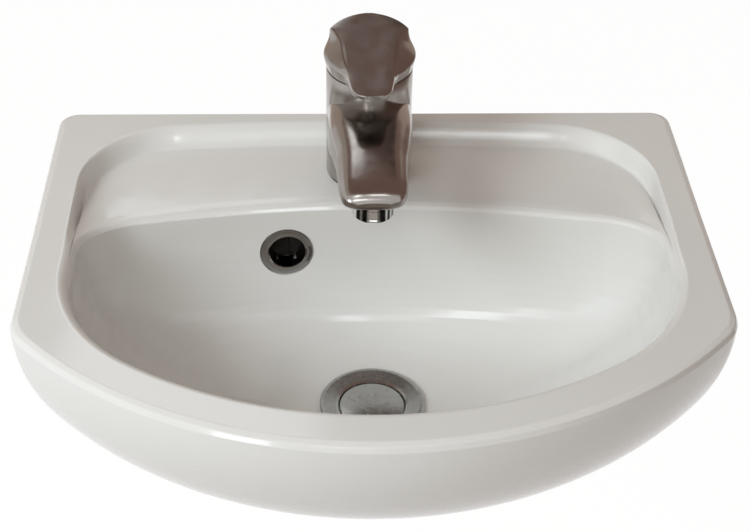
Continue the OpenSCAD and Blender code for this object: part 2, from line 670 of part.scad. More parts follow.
// The aerator under the nose
thread_h = 8;
aerator_wall = 2.2;
module aerator_housing() {
    r = aerator_d / 2;
    color("silver") at_tap() translate([0, aerator_y, 0]) difference() {
        rotate_extrude($fn = fine) polygon([
            [r - aerator_wall, outlet_z], [r - 0.8, outlet_z], [r, outlet_z + 0.8], [r, nose_z - 0.2],
            [r - 0.3, nose_z], [r - 0.3, nose_z + thread_h], [r - aerator_wall, nose_z + thread_h],
            [r - aerator_wall, outlet_z + 2], [r - aerator_wall - 0.8, outlet_z + 2], [r - aerator_wall - 0.8, outlet_z]
        ]);
        for (s = [-1, 1]) translate([-20, s * (r - 0.6) - (s < 0 ? 4 : 0), outlet_z + 2]) cube([40, 4, 4.5]);
    }
}
module aerator_gasket() {
    color("black") at_tap() translate([0, aerator_y, 0])
        ring(aerator_d / 2 - 0.5, aerator_d / 2 - 3.4, nose_z + thread_h, nose_z + thread_h + 1.5);
}
module aerator_insert() {
    r = aerator_d / 2 - aerator_wall - 0.1;
    pitch = r / 4.2;
    color("lightgray") at_tap() translate([0, aerator_y, outlet_z + 2]) difference() {
        cylinder(h = nose_z + thread_h - outlet_z - 2.2, r = r, $fn = fine);
        for (i = [-3 : 3], j = [-3 : 3]) let (x = pitch * (i + j / 2), y = pitch * j * sin(60))
            if (norm([x, y]) < r - 1.2) translate([x, y, -1]) cylinder(h = 3.5, r = pitch * 0.36, $fn = 16);
        translate([0, 0, 2]) cylinder(h = 30, r = r - 1, $fn = medium);
    }
}

// The tap's fixing under the deck
stud_low = hollow_top - 38;
horseshoe_r = tap_hole_d / 2 + 6.5;
horseshoe_slot = 2 * inlet_at + inlet_d + 1;
horseshoe_gasket_t = 2.5;
horseshoe_t = 3;
module horseshoe(z, t) {
    translate([0, 0, z]) difference() {
        cylinder(h = t, r = horseshoe_r, $fn = fine);
        translate([-horseshoe_slot / 2, -horseshoe_r - 1, -1])
            cube([horseshoe_slot, horseshoe_r + 1 + inlet_d / 2 + 0.6, t + 2]);
        translate([0, stud_at, -1]) cylinder(h = t + 2, d = stud_d + 0.6, $fn = medium);
    }
}
stud_slot = 1.2;
stud_slot_deep = 2;
module mounting_stud() {
    color("silver") at_tap() translate([0, stud_at, stud_low]) difference() {
        cylinder(h = body_z + stud_in - stud_low, d = stud_d, $fn = medium);
        translate([-stud_slot / 2, -stud_d, -1]) cube([stud_slot, 2 * stud_d, stud_slot_deep + 1]);
    }
}
module horseshoe_gasket() {
    color("black") at_tap() horseshoe(hollow_top - horseshoe_gasket_t, horseshoe_gasket_t);
}
module horseshoe_washer() {
    color("silver") at_tap() horseshoe(hollow_top - horseshoe_gasket_t - horseshoe_t, horseshoe_t);
}
module mounting_nut() {
    top = hollow_top - horseshoe_gasket_t - horseshoe_t;
    color("goldenrod") at_tap() translate([0, stud_at, 0]) difference() {
        union() {
            hex(stud_d + 5, top - 14, top);
            ring(stud_d / 2 + 4.4, stud_d / 2, top - 1.2, top);
        }
        translate([0, 0, top - 20]) cylinder(h = 30, d = stud_d, $fn = medium);
    }
}

// Heights of the waste, from the rim
flange_seal_t = 1.5;
flange_z = floor_z + flange_seal_t;
flange_t = 1.6;
flange_top = flange_z + flange_t;
tail_r = tail_d / 2;
tail_bore = tail_r - 2.3;
shoulder_r = waste_hole_d / 2 - 0.6;
plug_seat = flange_z - 3.2;
cap_t = 2.4;
web_z = plug_seat - 38;
web_t = 4;
sleeve_r = 6.5;
gasket_h = 6;
washer_h = 1.8;
nut_h = 10;
tail_end = flange_z - waste_len;
// A relief groove parts the backnut's thread from the trap's thread
relief_w = 1.5;
relief_deep = 0.6;
relief_z = collar_z - gasket_h - washer_h - nut_h - 1 - relief_w;
module waste_body() {
    r = flange_d / 2;
    color("silver") at_waste() difference() {
        union() {
            rotate_extrude($fn = fine) polygon([
                [tail_bore, tail_end], [tail_r, tail_end], [tail_r, relief_z], [tail_r - relief_deep, relief_z],
                [tail_r - relief_deep, relief_z + relief_w], [tail_r, relief_z + relief_w], [tail_r, plug_seat - 5],
                [shoulder_r, plug_seat - 4], [shoulder_r, flange_z], [r - 0.4, flange_z], [r, flange_z + 0.4],
                [r, flange_z + 0.9], [r - 0.7, flange_top], [r - 2.4, flange_top], [r - 4.5, flange_top - 0.5],
                [plug_d / 2 + gap + 1.6, flange_z], [plug_d / 2 + gap, flange_z - 0.8],
                [plug_d / 2 + gap, plug_seat - 2.4], [tail_bore, plug_seat - 2.4]
            ]);
            ring(sleeve_r + 2, sleeve_r, web_z, web_z + web_t);
            for (a = [30 : 120 : 270]) rotate([0, 0, a])
                translate([sleeve_r + 1, -1.5, web_z]) cube([tail_bore - sleeve_r, 3, web_t]);
        }
        // Windows that let the overflow passage drain into the tail
        for (a = [0 : 90 : 270]) rotate([0, 0, a + duct_angle])
            translate([0, -6, duct_bottom + 1]) cube([30, 12, duct_deep - 2]);
    }
}
module flange_seal() {
    color("black") at_waste() ring(flange_d / 2 - 1, shoulder_r + 0.2, floor_z, flange_z);
}
module lower_gasket() {
    color("black") at_waste() rotate_extrude($fn = fine) polygon([
        [tail_r + 0.1, collar_z - gasket_h], [tail_r + 10, collar_z - gasket_h],
        [tail_r + 10, collar_z - 2], [tail_r + 6, collar_z], [tail_r + 0.1, collar_z]
    ]);
}
module waste_washer() {
    color("lightgray") at_waste()
        ring(tail_r + 10, tail_r + 0.3, collar_z - gasket_h - washer_h, collar_z - gasket_h);
}
module backnut() {
    top = collar_z - gasket_h - washer_h;
    color("goldenrod") at_waste() difference() {
        union() {
            translate([0, 0, top - nut_h]) cylinder(h = nut_h, r = tail_r + 5, $fn = fine);
            ring(tail_r + 9, tail_r, top - 2, top);
            for (a = [0 : 60 : 300]) rotate([0, 0, a])
                translate([tail_r + 3, -4, top - nut_h]) cube([5.5, 8, nut_h - 1]);
        }
        translate([0, 0, top - 40]) cylinder(h = 60, r = tail_r, $fn = fine);
    }
}
spindle_r = 3;
boss_r = 5.5;
boss_z = plug_seat - 8;
module waste_plug() {
    r = plug_d / 2;
    color("silver") at_waste() difference() {
        rotate_extrude($fn = fine) polygon([
            [0, boss_z], [boss_r, boss_z], [boss_r, plug_seat - 2.5], [r - 3.4, plug_seat - 2.5],
            [r - 3.4, plug_seat], [r, plug_seat], [r, plug_seat + cap_t - 0.8],
            [r - 0.8, plug_seat + cap_t], for (k = [4 : -1 : 0]) [(r - 0.8) * k / 5, plug_seat + cap_t + 0.8 * (1 - pow(k / 5, 2))]
        ]);
        translate([0, 0, boss_z - 1]) cylinder(h = 6, r = spindle_r, $fn = medium);
    }
}
module plug_seal() {
    r = plug_d / 2;
    color("black") at_waste() rotate_extrude($fn = fine)
        translate([r - 3.4, plug_seat - 2.4]) square([3.2, 2.1]);
}
collar_drop = plug_travel + 6.5;
module plug_spindle() {
    top = boss_z + 5;
    low = web_z + 1;
    color("slategray") at_waste() {
        translate([0, 0, low]) cylinder(h = top - low, r = spindle_r, $fn = medium);
        ring(sleeve_r - 1.3 - running, spindle_r - 0.5, top - collar_drop - 3, top - collar_drop);
    }
}
sleeve_top = boss_z - 1;
module latch_sleeve() {
    color("ivory") at_waste() difference() {
        union() {
            translate([0, 0, web_z - 2]) cylinder(h = sleeve_top - web_z + 2, r = sleeve_r, $fn = medium);
            ring(sleeve_r + 1.6, sleeve_r - 1, web_z - 2, web_z);
        }
        translate([0, 0, web_z + 0.4]) cylinder(h = 60, r = sleeve_r - 1.3, $fn = medium);
    }
}
// One unbroken coil between the sleeve's floor and the spindle's collar
wire_r = 0.55;
coil_r = sleeve_r - 1.3 - wire_r - 0.25;
coil_low = web_z + 0.4 + wire_r;
coil_high = boss_z + 5 - collar_drop - 3 - wire_r - 0.1;
coil_turns = 8;
coil_steps = 8;
n_wire = 6;
coil_gap = (coil_high - coil_low) / coil_turns - 2 * wire_r;
echo(least_gap_between_spring_turns_mm = coil_gap);
function wire_ring(k) = let (
        a = 360 * k / coil_steps,
        z = mix(coil_low, coil_high, k / (coil_turns * coil_steps)),
        out = [cos(a), sin(a), 0]
    ) [for (i = [0 : n_wire - 1]) let (b = 360 * i / n_wire)
        out * (coil_r + wire_r * cos(b)) + [0, 0, z + wire_r * sin(b)]];
module plug_spring() {
    last = coil_turns * coil_steps;
    color("silver") at_waste()
        loft([for (k = [0 : last]) wire_ring(k)], [coil_r, 0, coil_low], [coil_r, 0, coil_high]);
}

basin();
overflow_ring();
mixer_body();
base_gasket();
cartridge_housing();
cartridge_seals();
disc_lower();
disc_upper();
disc_driver();
stem_carrier();
stem_pin();
cartridge_stem();
cartridge_nut();
cartridge_cover();
lever_handle();
handle_screw();
aerator_housing();
aerator_gasket();
aerator_insert();
mounting_stud();
horseshoe_gasket();
horseshoe_washer();
mounting_nut();
waste_body();
flange_seal();
lower_gasket();
waste_washer();
backnut();
waste_plug();
plug_seal();
plug_spindle();
latch_sleeve();
plug_spring();
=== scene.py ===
"""Surfaces, finishes and studio for a wall-hung washbasin with its mixer and click waste."""
import json
import math
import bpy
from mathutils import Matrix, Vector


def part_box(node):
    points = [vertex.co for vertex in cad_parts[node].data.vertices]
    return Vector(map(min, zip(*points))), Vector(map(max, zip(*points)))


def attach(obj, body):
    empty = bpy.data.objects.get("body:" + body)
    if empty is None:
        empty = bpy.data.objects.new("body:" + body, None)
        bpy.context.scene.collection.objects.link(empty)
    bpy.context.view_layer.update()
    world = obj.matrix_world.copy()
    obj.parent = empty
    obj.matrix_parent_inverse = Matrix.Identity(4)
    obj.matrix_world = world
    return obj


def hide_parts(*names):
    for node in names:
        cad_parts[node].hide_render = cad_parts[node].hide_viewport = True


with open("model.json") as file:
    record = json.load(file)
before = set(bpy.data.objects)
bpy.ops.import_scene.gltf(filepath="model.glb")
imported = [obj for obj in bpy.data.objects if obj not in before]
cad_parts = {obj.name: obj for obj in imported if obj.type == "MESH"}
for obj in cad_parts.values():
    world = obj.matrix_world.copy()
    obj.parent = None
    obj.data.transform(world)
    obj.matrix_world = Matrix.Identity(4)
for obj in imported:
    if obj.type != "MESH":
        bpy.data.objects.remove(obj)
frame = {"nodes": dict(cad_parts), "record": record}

from types import SimpleNamespace

import bmesh
import bpy
import numpy as np
from mathutils import Matrix, Vector

bl_info = {
    "name": "Washbasin studio",
    "version": (1, 0, 0),
    "blender": (4, 5, 0),
    "location": "3D View > Sidebar > Washbasin",
    "description": "Builds the glazed basin, the satin tap, the waste and the studio around the packed frame",
    "category": "Object",
}

MM = 0.001
TURN = 2 * math.pi
PHOTO_WIDTH = 750
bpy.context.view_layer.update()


def hinge_place(name):
    """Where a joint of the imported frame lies, in millimetres."""
    joint = next(j for j in frame["record"]["behaviour"]["joints"] if j["name"] == name)
    return np.array(joint["pos_m"]) / MM


def box_mm(node):
    """The two corners of a CAD node's box, in millimetres."""
    low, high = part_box(node)
    return np.array(low) / MM, np.array(high) / MM


basin_low, basin_high = box_mm("basin")
waste_low, waste_high = box_mm("waste_body")
column_low, column_high = box_mm("mixer_body")
handle_low, handle_high = box_mm("lever_handle")
aerator_low, aerator_high = box_mm("aerator_housing")
ring_low, ring_high = box_mm("overflow_ring")
pivot = hinge_place("handle_lift")
# The way that the overflow's ring faces: out of the bowl's back wall and 3 degrees upwards
RING_AXIS = (0.0844, -0.9951, 0.0523)
RING_MIDDLE = (ring_low + ring_high) / 2
RING_R = (ring_high[2] - ring_low[2]) / 2
RIM = basin_high[2]
TAP_Y = pivot[1]
WASTE_Y = (waste_low[1] + waste_high[1]) / 2


# Sizes and colours that a user may change

def length(name, description, default):
    return bpy.props.FloatProperty(name=name, description=description, default=default, unit="LENGTH")


def tint(name, description, default):
    return bpy.props.FloatVectorProperty(
        name=name, description=description, default=default, subtype="COLOR")


class BasinSizes(bpy.types.PropertyGroup):
    """Sizes of the cast basin"""
    rim_side: length("Side rim", "Width of the flat rim at the sides", 0.020)
    rim_front: length("Front rim", "Width of the flat rim at the front", 0.022)
    rim_back: length("Wall rim", "Width of the flat rim along the wall", 0.013)
    rim_roll: length("Rim roll", "Radius of the rim's outer roll", 0.0045)
    deck_drop: length("Deck drop", "How far the tap deck lies below the rim", 0.012)
    deck_len: length("Deck depth", "Depth of the tap deck from the wall to the bowl", 0.088)
    bowl_depth: length("Bowl depth", "From the rim to the bowl's floor", 0.103)
    floor_t: length("Floor thickness", "Ceramic under the bowl's floor", 0.012)
    deck_t: length("Deck thickness", "Ceramic under the tap", 0.015)
    skirt_r: length("Skirt radius", "Radius of the skirt's inward curve", 0.107)
    back_h: length("Wall panel", "Height of the panel against the wall", 0.134)
    front_r: length("Front arc", "Radius of the front arc", 0.257)
    side_r: length("Side corners", "Radius of the side corners", 0.030)
    wall_corner_r: length("Wall corners", "Radius of the corners at the wall", 0.012)
    collar_d: length("Collar", "Outside diameter of the collar under the floor", 0.084)
    waste_hole_d: length("Waste hole", "Hole in the ceramic for the waste", 0.046)
    tap_hole_d: length("Tap hole", "Hole in the deck for the tap", 0.035)
    overflow_hole_d: length("Overflow hole", "Hole in the bowl's wall", 0.0245)
    fixing_hole_d: length("Fixing hole", "Hole for a wall bolt", 0.014)
    fixing_spacing: length("Fixing spacing", "Distance between the wall bolts", 0.180)
    panel_t: length("Panel thickness", "Ceramic of the wall panel", 0.012)


class TapSizes(bpy.types.PropertyGroup):
    """Sizes of the mixer"""
    nose_w: length("Nose width", "Width of the spout at the nose", 0.040)
    lever_w: length("Lever width", "Width of the lever near its tip", 0.024)
    edge_r: length("Edge rounding", "Rounding of the tap's edges", 0.0016)


class Finishes(bpy.types.PropertyGroup):
    """Colours of the finishes"""
    glaze: tint("Glaze", "Colour of the glazed ceramic", (0.735, 0.728, 0.705))
    chrome: tint("Chrome", "Colour of the satin chrome", (0.40, 0.37, 0.345))
    bright: tint("Bright chrome", "Colour of the polished rings", (0.45, 0.45, 0.44))
    brass: tint("Brass", "Colour of the brass nuts", (0.62, 0.42, 0.16))
    steel: tint("Steel", "Colour of the steel parts", (0.52, 0.52, 0.53))
    rubber: tint("Rubber", "Colour of the seals", (0.02, 0.02, 0.021))
    plastic: tint("Plastic", "Colour of the moulded parts", (0.62, 0.61, 0.57))


class CameraPlace(bpy.types.PropertyGroup):
    """The photograph's camera"""
    place: bpy.props.FloatVectorProperty(
        name="Place", description="Where the camera stands", subtype="TRANSLATION", unit="LENGTH",
        default=(-0.0300, -0.8729, 0.5243))
    yaw: bpy.props.FloatProperty(
        name="Yaw", description="Turn to the left", subtype="ANGLE", default=math.radians(-2.48))
    pitch: bpy.props.FloatProperty(
        name="Pitch", description="Tilt downwards", subtype="ANGLE", default=math.radians(36.69))
    roll: bpy.props.FloatProperty(
        name="Roll", description="Roll about the view", subtype="ANGLE", default=math.radians(1.09))
    focal_px: bpy.props.FloatProperty(
        name="Focal length", description="Focal length in pixels of the photograph", default=1534.4)


# Curves and meshes, in millimetres

def mix(a, b, t):
    return a + (b - a) * t


def smooth(t):
    u = np.clip(t, 0, 1)
    return u * u * (3 - 2 * u)


def arc(centre, radius, start, end, count):
    """Points of an arc, in degrees, without its last point."""
    angle = np.radians(np.linspace(start, end, count, endpoint=False))
    return np.array(centre) + radius * np.stack([np.cos(angle), np.sin(angle)], 1)


def straight(start, end, count):
    t = np.linspace(0, 1, count, endpoint=False)[:, None]
    return mix(np.array(start, float), np.array(end, float), t)


def bezier_corner(before, corner, after, radius, steps):
    """A corner of an outline, rounded off over at most 45% of its legs."""
    legs = [before - corner, after - corner]
    lengths = [np.linalg.norm(leg) for leg in legs]
    cuts = [min(radius, 0.45 * length) / max(length, 1e-9) for length in lengths]
    ends = [corner + leg * cut for leg, cut in zip(legs, cuts)]
    t = np.linspace(0, 1, steps)[:, None]
    return (1 - t) ** 2 * ends[0] + 2 * t * (1 - t) * corner + t ** 2 * ends[1]


def rounded(points, radii, steps):
    """A closed outline with each corner rounded."""
    points = np.array(points, float)
    after = np.roll(points, -1, axis=0)
    return np.concatenate([
        bezier_corner(points[i - 1], points[i], after[i], radii[i], steps) for i in range(len(points))])


def chaikin(rings, rounds):
    """Softens a stack of rings along its length, and keeps the first and the last."""
    rings = np.array(rings, float)
    for _ in range(rounds):
        left = mix(rings[:-1], rings[1:], 0.25)
        right = mix(rings[:-1], rings[1:], 0.75)
        inner = np.stack([left, right], 1).reshape(-1, *rings.shape[1:])
        rings = np.concatenate([rings[:1], inner[1:-1], rings[-1:]])
    return rings


def held(rings, reach):
    """Adds rings close to each given one, so that softening rounds its corner over about that reach."""
    stack = [rings[0]]
    for a, b in zip(rings[:-1], rings[1:]):
        length = np.linalg.norm(b - a, axis=1, keepdims=True)
        share = np.minimum(reach / np.maximum(length, 1e-6), 1 / 3)
        stack += [mix(a, b, share), mix(b, a, share), b]
    return stack


def between(stations, at, soft):
    """Rows of values at the places in at, drawn between the stations and softened over about that reach."""
    stations = np.array(sorted(stations), float)
    near = np.linspace(-1, 1, 9)
    weight = np.exp(-2 * near ** 2)
    return np.array([
        sum(w * np.interp(at + soft * d, stations[:, 0], column) for d, w in zip(near, weight)) / weight.sum()
        for column in stations[:, 1:].T]).T


def linked(name, data):
    """A new object in the scene's collection."""
    item = bpy.data.objects.new(name, data)
    bpy.context.scene.collection.objects.link(item)
    return item


def mesh_object(name, points, faces):
    """A new object from points in millimetres in the row's frame."""
    mesh = bpy.data.meshes.new(name)
    mesh.from_pydata((np.array(points, float) * MM).tolist(), [], faces)
    mesh.validate()
    return linked(name, mesh)


def solid(name, points, faces):
    """A closed piece with all its faces turned outwards."""
    piece = mesh_object(name, points, faces)
    work = bmesh.new()
    work.from_mesh(piece.data)
    bmesh.ops.recalc_face_normals(work, faces=work.faces)
    if work.calc_volume(signed=True) < 0:
        bmesh.ops.reverse_faces(work, faces=work.faces)
    work.to_mesh(piece.data)
    work.free()
    return piece


def ring_faces(bands, total, count):
    """Faces of the bands between rings of count points. After the last of the total comes the first."""
    return [(k * count + i, (k + 1) % total * count + i, (k + 1) % total * count + (i + 1) % count,
             k * count + (i + 1) % count) for k in range(bands) for i in range(count)]


def stack_mesh(name, rings, first_mid, last_mid):
    """A skin over a stack of rings, each end closed from its middle point."""
    total, count = len(rings), len(rings[0])
    points = [tuple(p) for ring in rings for p in ring] + [tuple(first_mid), tuple(last_mid)]
    last = (total - 1) * count
    faces = ring_faces(total - 1, total, count)
    faces += [(total * count, i, (i + 1) % count) for i in range(count)]
    faces += [(total * count + 1, last + (i + 1) % count, last + i) for i in range(count)]
    return solid(name, points, faces)


def revolved(name, profile, steps):
    """A closed profile of (radius, height) points turned about the upright axis."""
    angle = np.linspace(0, TURN, steps, endpoint=False)
    rings = [np.stack([r * np.cos(angle), r * np.sin(angle), np.full(steps, z)], 1) for r, z in profile]
    return solid(name, np.concatenate(rings), ring_faces(len(profile), len(profile), steps))


def prism(name, outline, place):
    """An extruded outline. place turns a point (u, v) and a side of -1 or 1 into a point in the frame."""
    points = [place(u, v, side) for side in (-1, 1) for u, v in outline]
    count = len(outline)
    faces = [tuple(range(count)), tuple(range(2 * count - 1, count - 1, -1))]
    faces += [(i, count + i, count + (i + 1) % count, (i + 1) % count) for i in range(count)]
    return solid(name, points, faces)


def tilted(angle):
    """The upward and the backward direction of something that leans forward by an angle."""
    return np.array([0, -math.sin(angle), math.cos(angle)]), np.array([0, math.cos(angle), math.sin(angle)])


def block(name, centre, directions, half, heights, depths):
    """A box to both sides of centre, between two heights and two depths along its two directions."""
    up, back = directions
    sides = [(-half, heights[0]), (half, heights[0]), (half, heights[1]), (-half, heights[1])]
    return prism(name, sides, lambda x, h, which: tuple(
        centre + up * h + back * depths[which > 0] + np.array([x, 0, 0])))


def ball(name, centre, radius):
    mesh = bpy.data.meshes.new(name)
    work = bmesh.new()
    bmesh.ops.create_uvsphere(work, u_segments=96, v_segments=64, radius=radius * MM,
                              matrix=Matrix.Translation(Vector(centre) * MM))
    work.to_mesh(mesh)
    work.free()
    return linked(name, mesh)


def rod(name, start, end, radius, steps=64):
    """A closed cylinder between two points."""
    start, end = Vector(start), Vector(end)
    along = (end - start).normalized()
    side = along.orthogonal().normalized()
    up = along.cross(side)
    angles = np.linspace(0, TURN, steps, endpoint=False)
    circle = [side * math.cos(a) * radius + up * math.sin(a) * radius for a in angles]
    rings = [[tuple(p + c) for c in circle] for p in (start, end)]
    return stack_mesh(name, rings, start, end)


def combine(piece, other, operation):
    """Cuts other from piece, joins it on or keeps what both hold, and removes other."""
    modifier = piece.modifiers.new("combine", "BOOLEAN")
    modifier.operation = operation
    modifier.solver = "EXACT"
    modifier.object = other
    settle(piece)
    bpy.data.objects.remove(other)
    return piece


def cut(piece, other):
    return combine(piece, other, "DIFFERENCE")


def settle(piece):
    """Applies all modifiers of a piece."""
    bpy.context.view_layer.update()
    graph = bpy.context.evaluated_depsgraph_get()
    mesh = bpy.data.meshes.new_from_object(piece.evaluated_get(graph))
    piece.modifiers.clear()
    piece.data = mesh


def shade(piece, sharp_angle):
    piece.data.shade_smooth()
    piece.data.set_sharp_from_angle(angle=math.radians(sharp_angle))


def coat(piece, finish):
    piece.data.materials.clear()
    piece.data.materials.append(finish)


def dress(piece, body, slot, finish, *nodes):
    """Gives a piece its finish, the body that it rides on and the CAD nodes that it replaces."""
    coat(piece, finish)
    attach(piece, body)
    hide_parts(*nodes)


# Finishes

# The part of a noise's values that is spread over a finish's range
NOISE_SPAN = (0.35, 0.65)
# Painted shade in the throat behind the overflow's ring: how far behind it in millimetres, its edge in
# metres, its colour
THROAT_BEHIND = 19
THROAT_SHADE_EDGE = (0.0165, 0.0185)
THROAT_SHADE_COLOR = (0.05, 0.043, 0.038)
# Painted shade on the inside of the ring itself
HOLLOW_SHADE_EDGE = (0.0108, 0.0122)
HOLLOW_SHADE_COLOR = (0.012, 0.010, 0.009)
# The dark and the bright of the painted reflection on the aerator's rim
REFLECTION_DARK, REFLECTION_BRIGHT = (0.015, 0.014, 0.013), (1.0, 1.0, 1.0)


def cleared(owner):
    """The emptied node tree of a material or world."""
    owner.use_nodes = True
    owner.node_tree.nodes.clear()
    return owner.node_tree


def add(tree, kind, inputs, operation=None):
    """A new node. Each of its inputs is linked to a socket or set to a value."""
    node = tree.nodes.new(kind)
    if operation:
        node.operation = operation
    for key, value in inputs.items():
        if isinstance(value, bpy.types.NodeSocket):
            tree.links.new(value, node.inputs[key])
        else:
            node.inputs[key].default_value = value
    return node


def node_material(name, color, metallic, roughness, ior=1.5):
    finish = bpy.data.materials.get(name) or bpy.data.materials.new(name)
    tree = cleared(finish)
    shader = add(tree, "ShaderNodeBsdfPrincipled", {
        "Base Color": (*color, 1), "Metallic": metallic, "Roughness": roughness, "IOR": ior})
    add(tree, "ShaderNodeOutputMaterial", {"Surface": shader.outputs["BSDF"]})
    return finish, tree, shader


def object_place(tree):
    """A point in the object's own coordinates, which are metres."""
    return tree.nodes.new("ShaderNodeTexCoord").outputs["Object"]


def noise(tree, scale, detail, stretch=(1, 1, 1)):
    spread = add(tree, "ShaderNodeMapping", {"Vector": object_place(tree), "Scale": stretch})
    texture = add(tree, "ShaderNodeTexNoise", {
        "Vector": spread.outputs["Vector"], "Scale": scale, "Detail": detail})
    return texture.outputs["Fac"]


def map_range(tree, source, span, low=0.0, high=1.0):
    """Spreads a span of values from low to high, and holds them beyond it."""
    spread = add(tree, "ShaderNodeMapRange", {
        "Value": source, "From Min": span[0], "From Max": span[1], "To Min": low, "To Max": high})
    return spread.outputs["Result"]


def vary_roughness(tree, shader, source, low, high):
    tree.links.new(map_range(tree, source, NOISE_SPAN, low, high), shader.inputs["Roughness"])


def vary_color(tree, shader, source, dark, light):
    ramp = add(tree, "ShaderNodeValToRGB", {"Fac": source})
    for stop, position, color in zip(ramp.color_ramp.elements, NOISE_SPAN, (dark, light)):
        stop.position = position
        stop.color = (*color, 1)
    tree.links.new(ramp.outputs["Color"], shader.inputs["Base Color"])


def add_bump(tree, shader, source, height, strength):
    bump = add(tree, "ShaderNodeBump", {"Height": source, "Distance": height, "Strength": strength})
    tree.links.new(bump.outputs["Normal"], shader.inputs["Normal"])


def shaded(color, factor):
    return tuple(c * factor for c in color)


def plain(name, color, metallic, roughness, rough=None, tone=None, bump=None):
    """A finish with noise in its roughness (scale, detail, low, high), in its tone (scale, detail,
    darkest share) and in its surface (scale, detail, height, strength)."""
    finish, tree, shader = node_material(name, color, metallic, roughness)
    if rough:
        scale, detail, low, high, *stretch = rough
        vary_roughness(tree, shader, noise(tree, scale, detail, *stretch), low, high)
    if tone:
        vary_color(tree, shader, noise(tree, *tone[:2]), shaded(color, tone[2]), color)
    if bump:
        add_bump(tree, shader, noise(tree, *bump[:2]), *bump[2:])
    return finish


def paint_throat_shade(tree, shader):
    """Paints shade into the unglazed passage behind the overflow's ring: the glaze turns dark within a ball
    clear of the bowl.
    """
    middle = tuple((RING_MIDDLE - THROAT_BEHIND * np.array(RING_AXIS)) * MM)
    away = add(tree, "ShaderNodeVectorMath", {0: object_place(tree), 1: middle}, "DISTANCE")
    # Painted shade: the glaze blends to the dark shade colour towards the throat's middle
    blend = add(tree, "ShaderNodeMixRGB", {
        "Fac": map_range(tree, away.outputs["Value"], THROAT_SHADE_EDGE), "Color1": (*THROAT_SHADE_COLOR, 1),
        "Color2": shader.inputs["Base Color"].links[0].from_socket})
    tree.links.new(blend.outputs["Color"], shader.inputs["Base Color"])


def glaze(colors):
    """Glossy sanitary glaze: a faint waviness and the slightest change of tone."""
    finish, tree, shader = node_material("glaze", colors.glaze, 0.0, 0.1, 1.52)
    vary_color(tree, shader, noise(tree, 9, 3), shaded(colors.glaze, 0.985), colors.glaze)
    # Painted shade in the overflow's passage behind the ring
    paint_throat_shade(tree, shader)
    vary_roughness(tree, shader, noise(tree, 60, 4), 0.07, 0.13)
    add_bump(tree, shader, noise(tree, 55, 2), 0.00012, 0.6)
    return finish


def painted_reflection_chrome(colors):
    """Polished plating with a painted reflection: the upright dark and bright bands that a narrow turned rim
    mirrors.
    """
    finish, tree, shader = node_material("painted_reflection_chrome", colors.bright, 1.0, 0.08)
    # Painted reflection: stretched noise draws upright dark and bright bands into the base colour
    vary_color(tree, shader, noise(tree, 330, 0, (1, 1, 0.02)), REFLECTION_DARK, REFLECTION_BRIGHT)
    return finish


def hollow_chrome(colors):
    """The overflow's ring: polished outside, with painted shade that makes it dark inside its throat."""
    finish, tree, shader = node_material("hollow_chrome", colors.bright, 1.0, 0.1)
    vector = object_place(tree)
    for operation, value in (("SUBTRACT", tuple(RING_MIDDLE * MM)), ("CROSS_PRODUCT", RING_AXIS)):
        vector = add(tree, "ShaderNodeVectorMath", {0: vector, 1: value}, operation).outputs["Vector"]
    radius = add(tree, "ShaderNodeVectorMath", {0: vector}, "LENGTH").outputs["Value"]
    # Painted shade: near black inside the throat's edge, the polished colour at 0.8 outside it
    vary_color(tree, shader, map_range(tree, radius, HOLLOW_SHADE_EDGE), HOLLOW_SHADE_COLOR, shaded(colors.bright, 0.8))
    return finish


def satin_chrome(colors):
    """Plated metal with a soft satin sheen and fine uneven polish."""
    return plain("satin_chrome", colors.chrome, 1.0, 0.2, (120, 4, 0.15, 0.23), bump=(900, 2, 0.00001, 0.5))


def bright_chrome(colors):
    """Polished plating."""
    return plain("bright_chrome", colors.bright, 1.0, 0.08, (200, 3, 0.05, 0.11))


def brushed_chrome(colors):
    """The waste's flange and cap, turned on a lathe."""
    return plain("brushed_chrome", colors.bright, 1.0, 0.22, (260, 4, 0.16, 0.28), (40, 3, 0.92))


def brass(colors):
    return plain("brass", colors.brass, 1.0, 0.3, (300, 3, 0.22, 0.4), (60, 3, 0.85))


def steel(colors):
    return plain("steel", colors.steel, 1.0, 0.32, (500, 3, 0.25, 0.42, (1, 1, 0.05)))


def rubber(colors):
    return plain("rubber", colors.rubber, 0.0, 0.75, (700, 3, 0.65, 0.85), bump=(1500, 2, 0.00004, 1.0))


def moulded_plastic(colors):
    return plain("moulded_plastic", colors.plastic, 0.0, 0.42, None, (25, 2, 0.95), (1200, 2, 0.00002, 1.0))


def lapped_ceramic(colors):
    return plain("lapped_ceramic", shaded(colors.glaze, 1.1), 0.0, 0.3, (400, 3, 0.22, 0.38))


# The basin. Its heights count from the rim.

# Points along each stretch of the outline
N_BACK, N_CORNER, N_SIDE, N_BEND, N_FRONT = 34, 18, 16, 18, 52
# Radii of the bow in the deck's front edge and in the step at its back, and the length of that step
EDGE_BOW, DECK_BOW, STEP_LEN = 615, 1500, 8
# Where the skirt begins, and the degrees that it turns inwards
SKIRT_TOP, SKIRT_TURN = -7, 76
# By what share of its inset a skirt ring's side corners grow, and the inner bend's share of the half width
SKIRT_ROUND, INNER_BEND = 0.4, 0.58
# A ring goes from its height at the front to its height at the wall between two distances from the wall
BLEND_FROM, RIM_BLEND_TO, SKIRT_BLEND_TO = -150, -20, -15
# The bowl's edge does so between two distances in front of the deck's edge
EDGE_BLEND_FROM, EDGE_BLEND_TO = 62, 6
# The bowl's wall is nearly round at the front and squarer under the deck
FRONT_POWER, BACK_POWER = 2.1, 3.2
FLOOR_MARGIN, BOLT_CLEAR = 6, 28
# How far the overflow's hole lies in front of the deck's edge, and the degrees that it faces upwards
OVERFLOW_AHEAD, OVERFLOW_TILT = 1.4, 3
# Its passage: the drop of its top below the bowl's floor, its depth, width and wall
DUCT_DROP, DUCT_DEEP, DUCT_W, DUCT_WALL = 11, 12, 22, 8


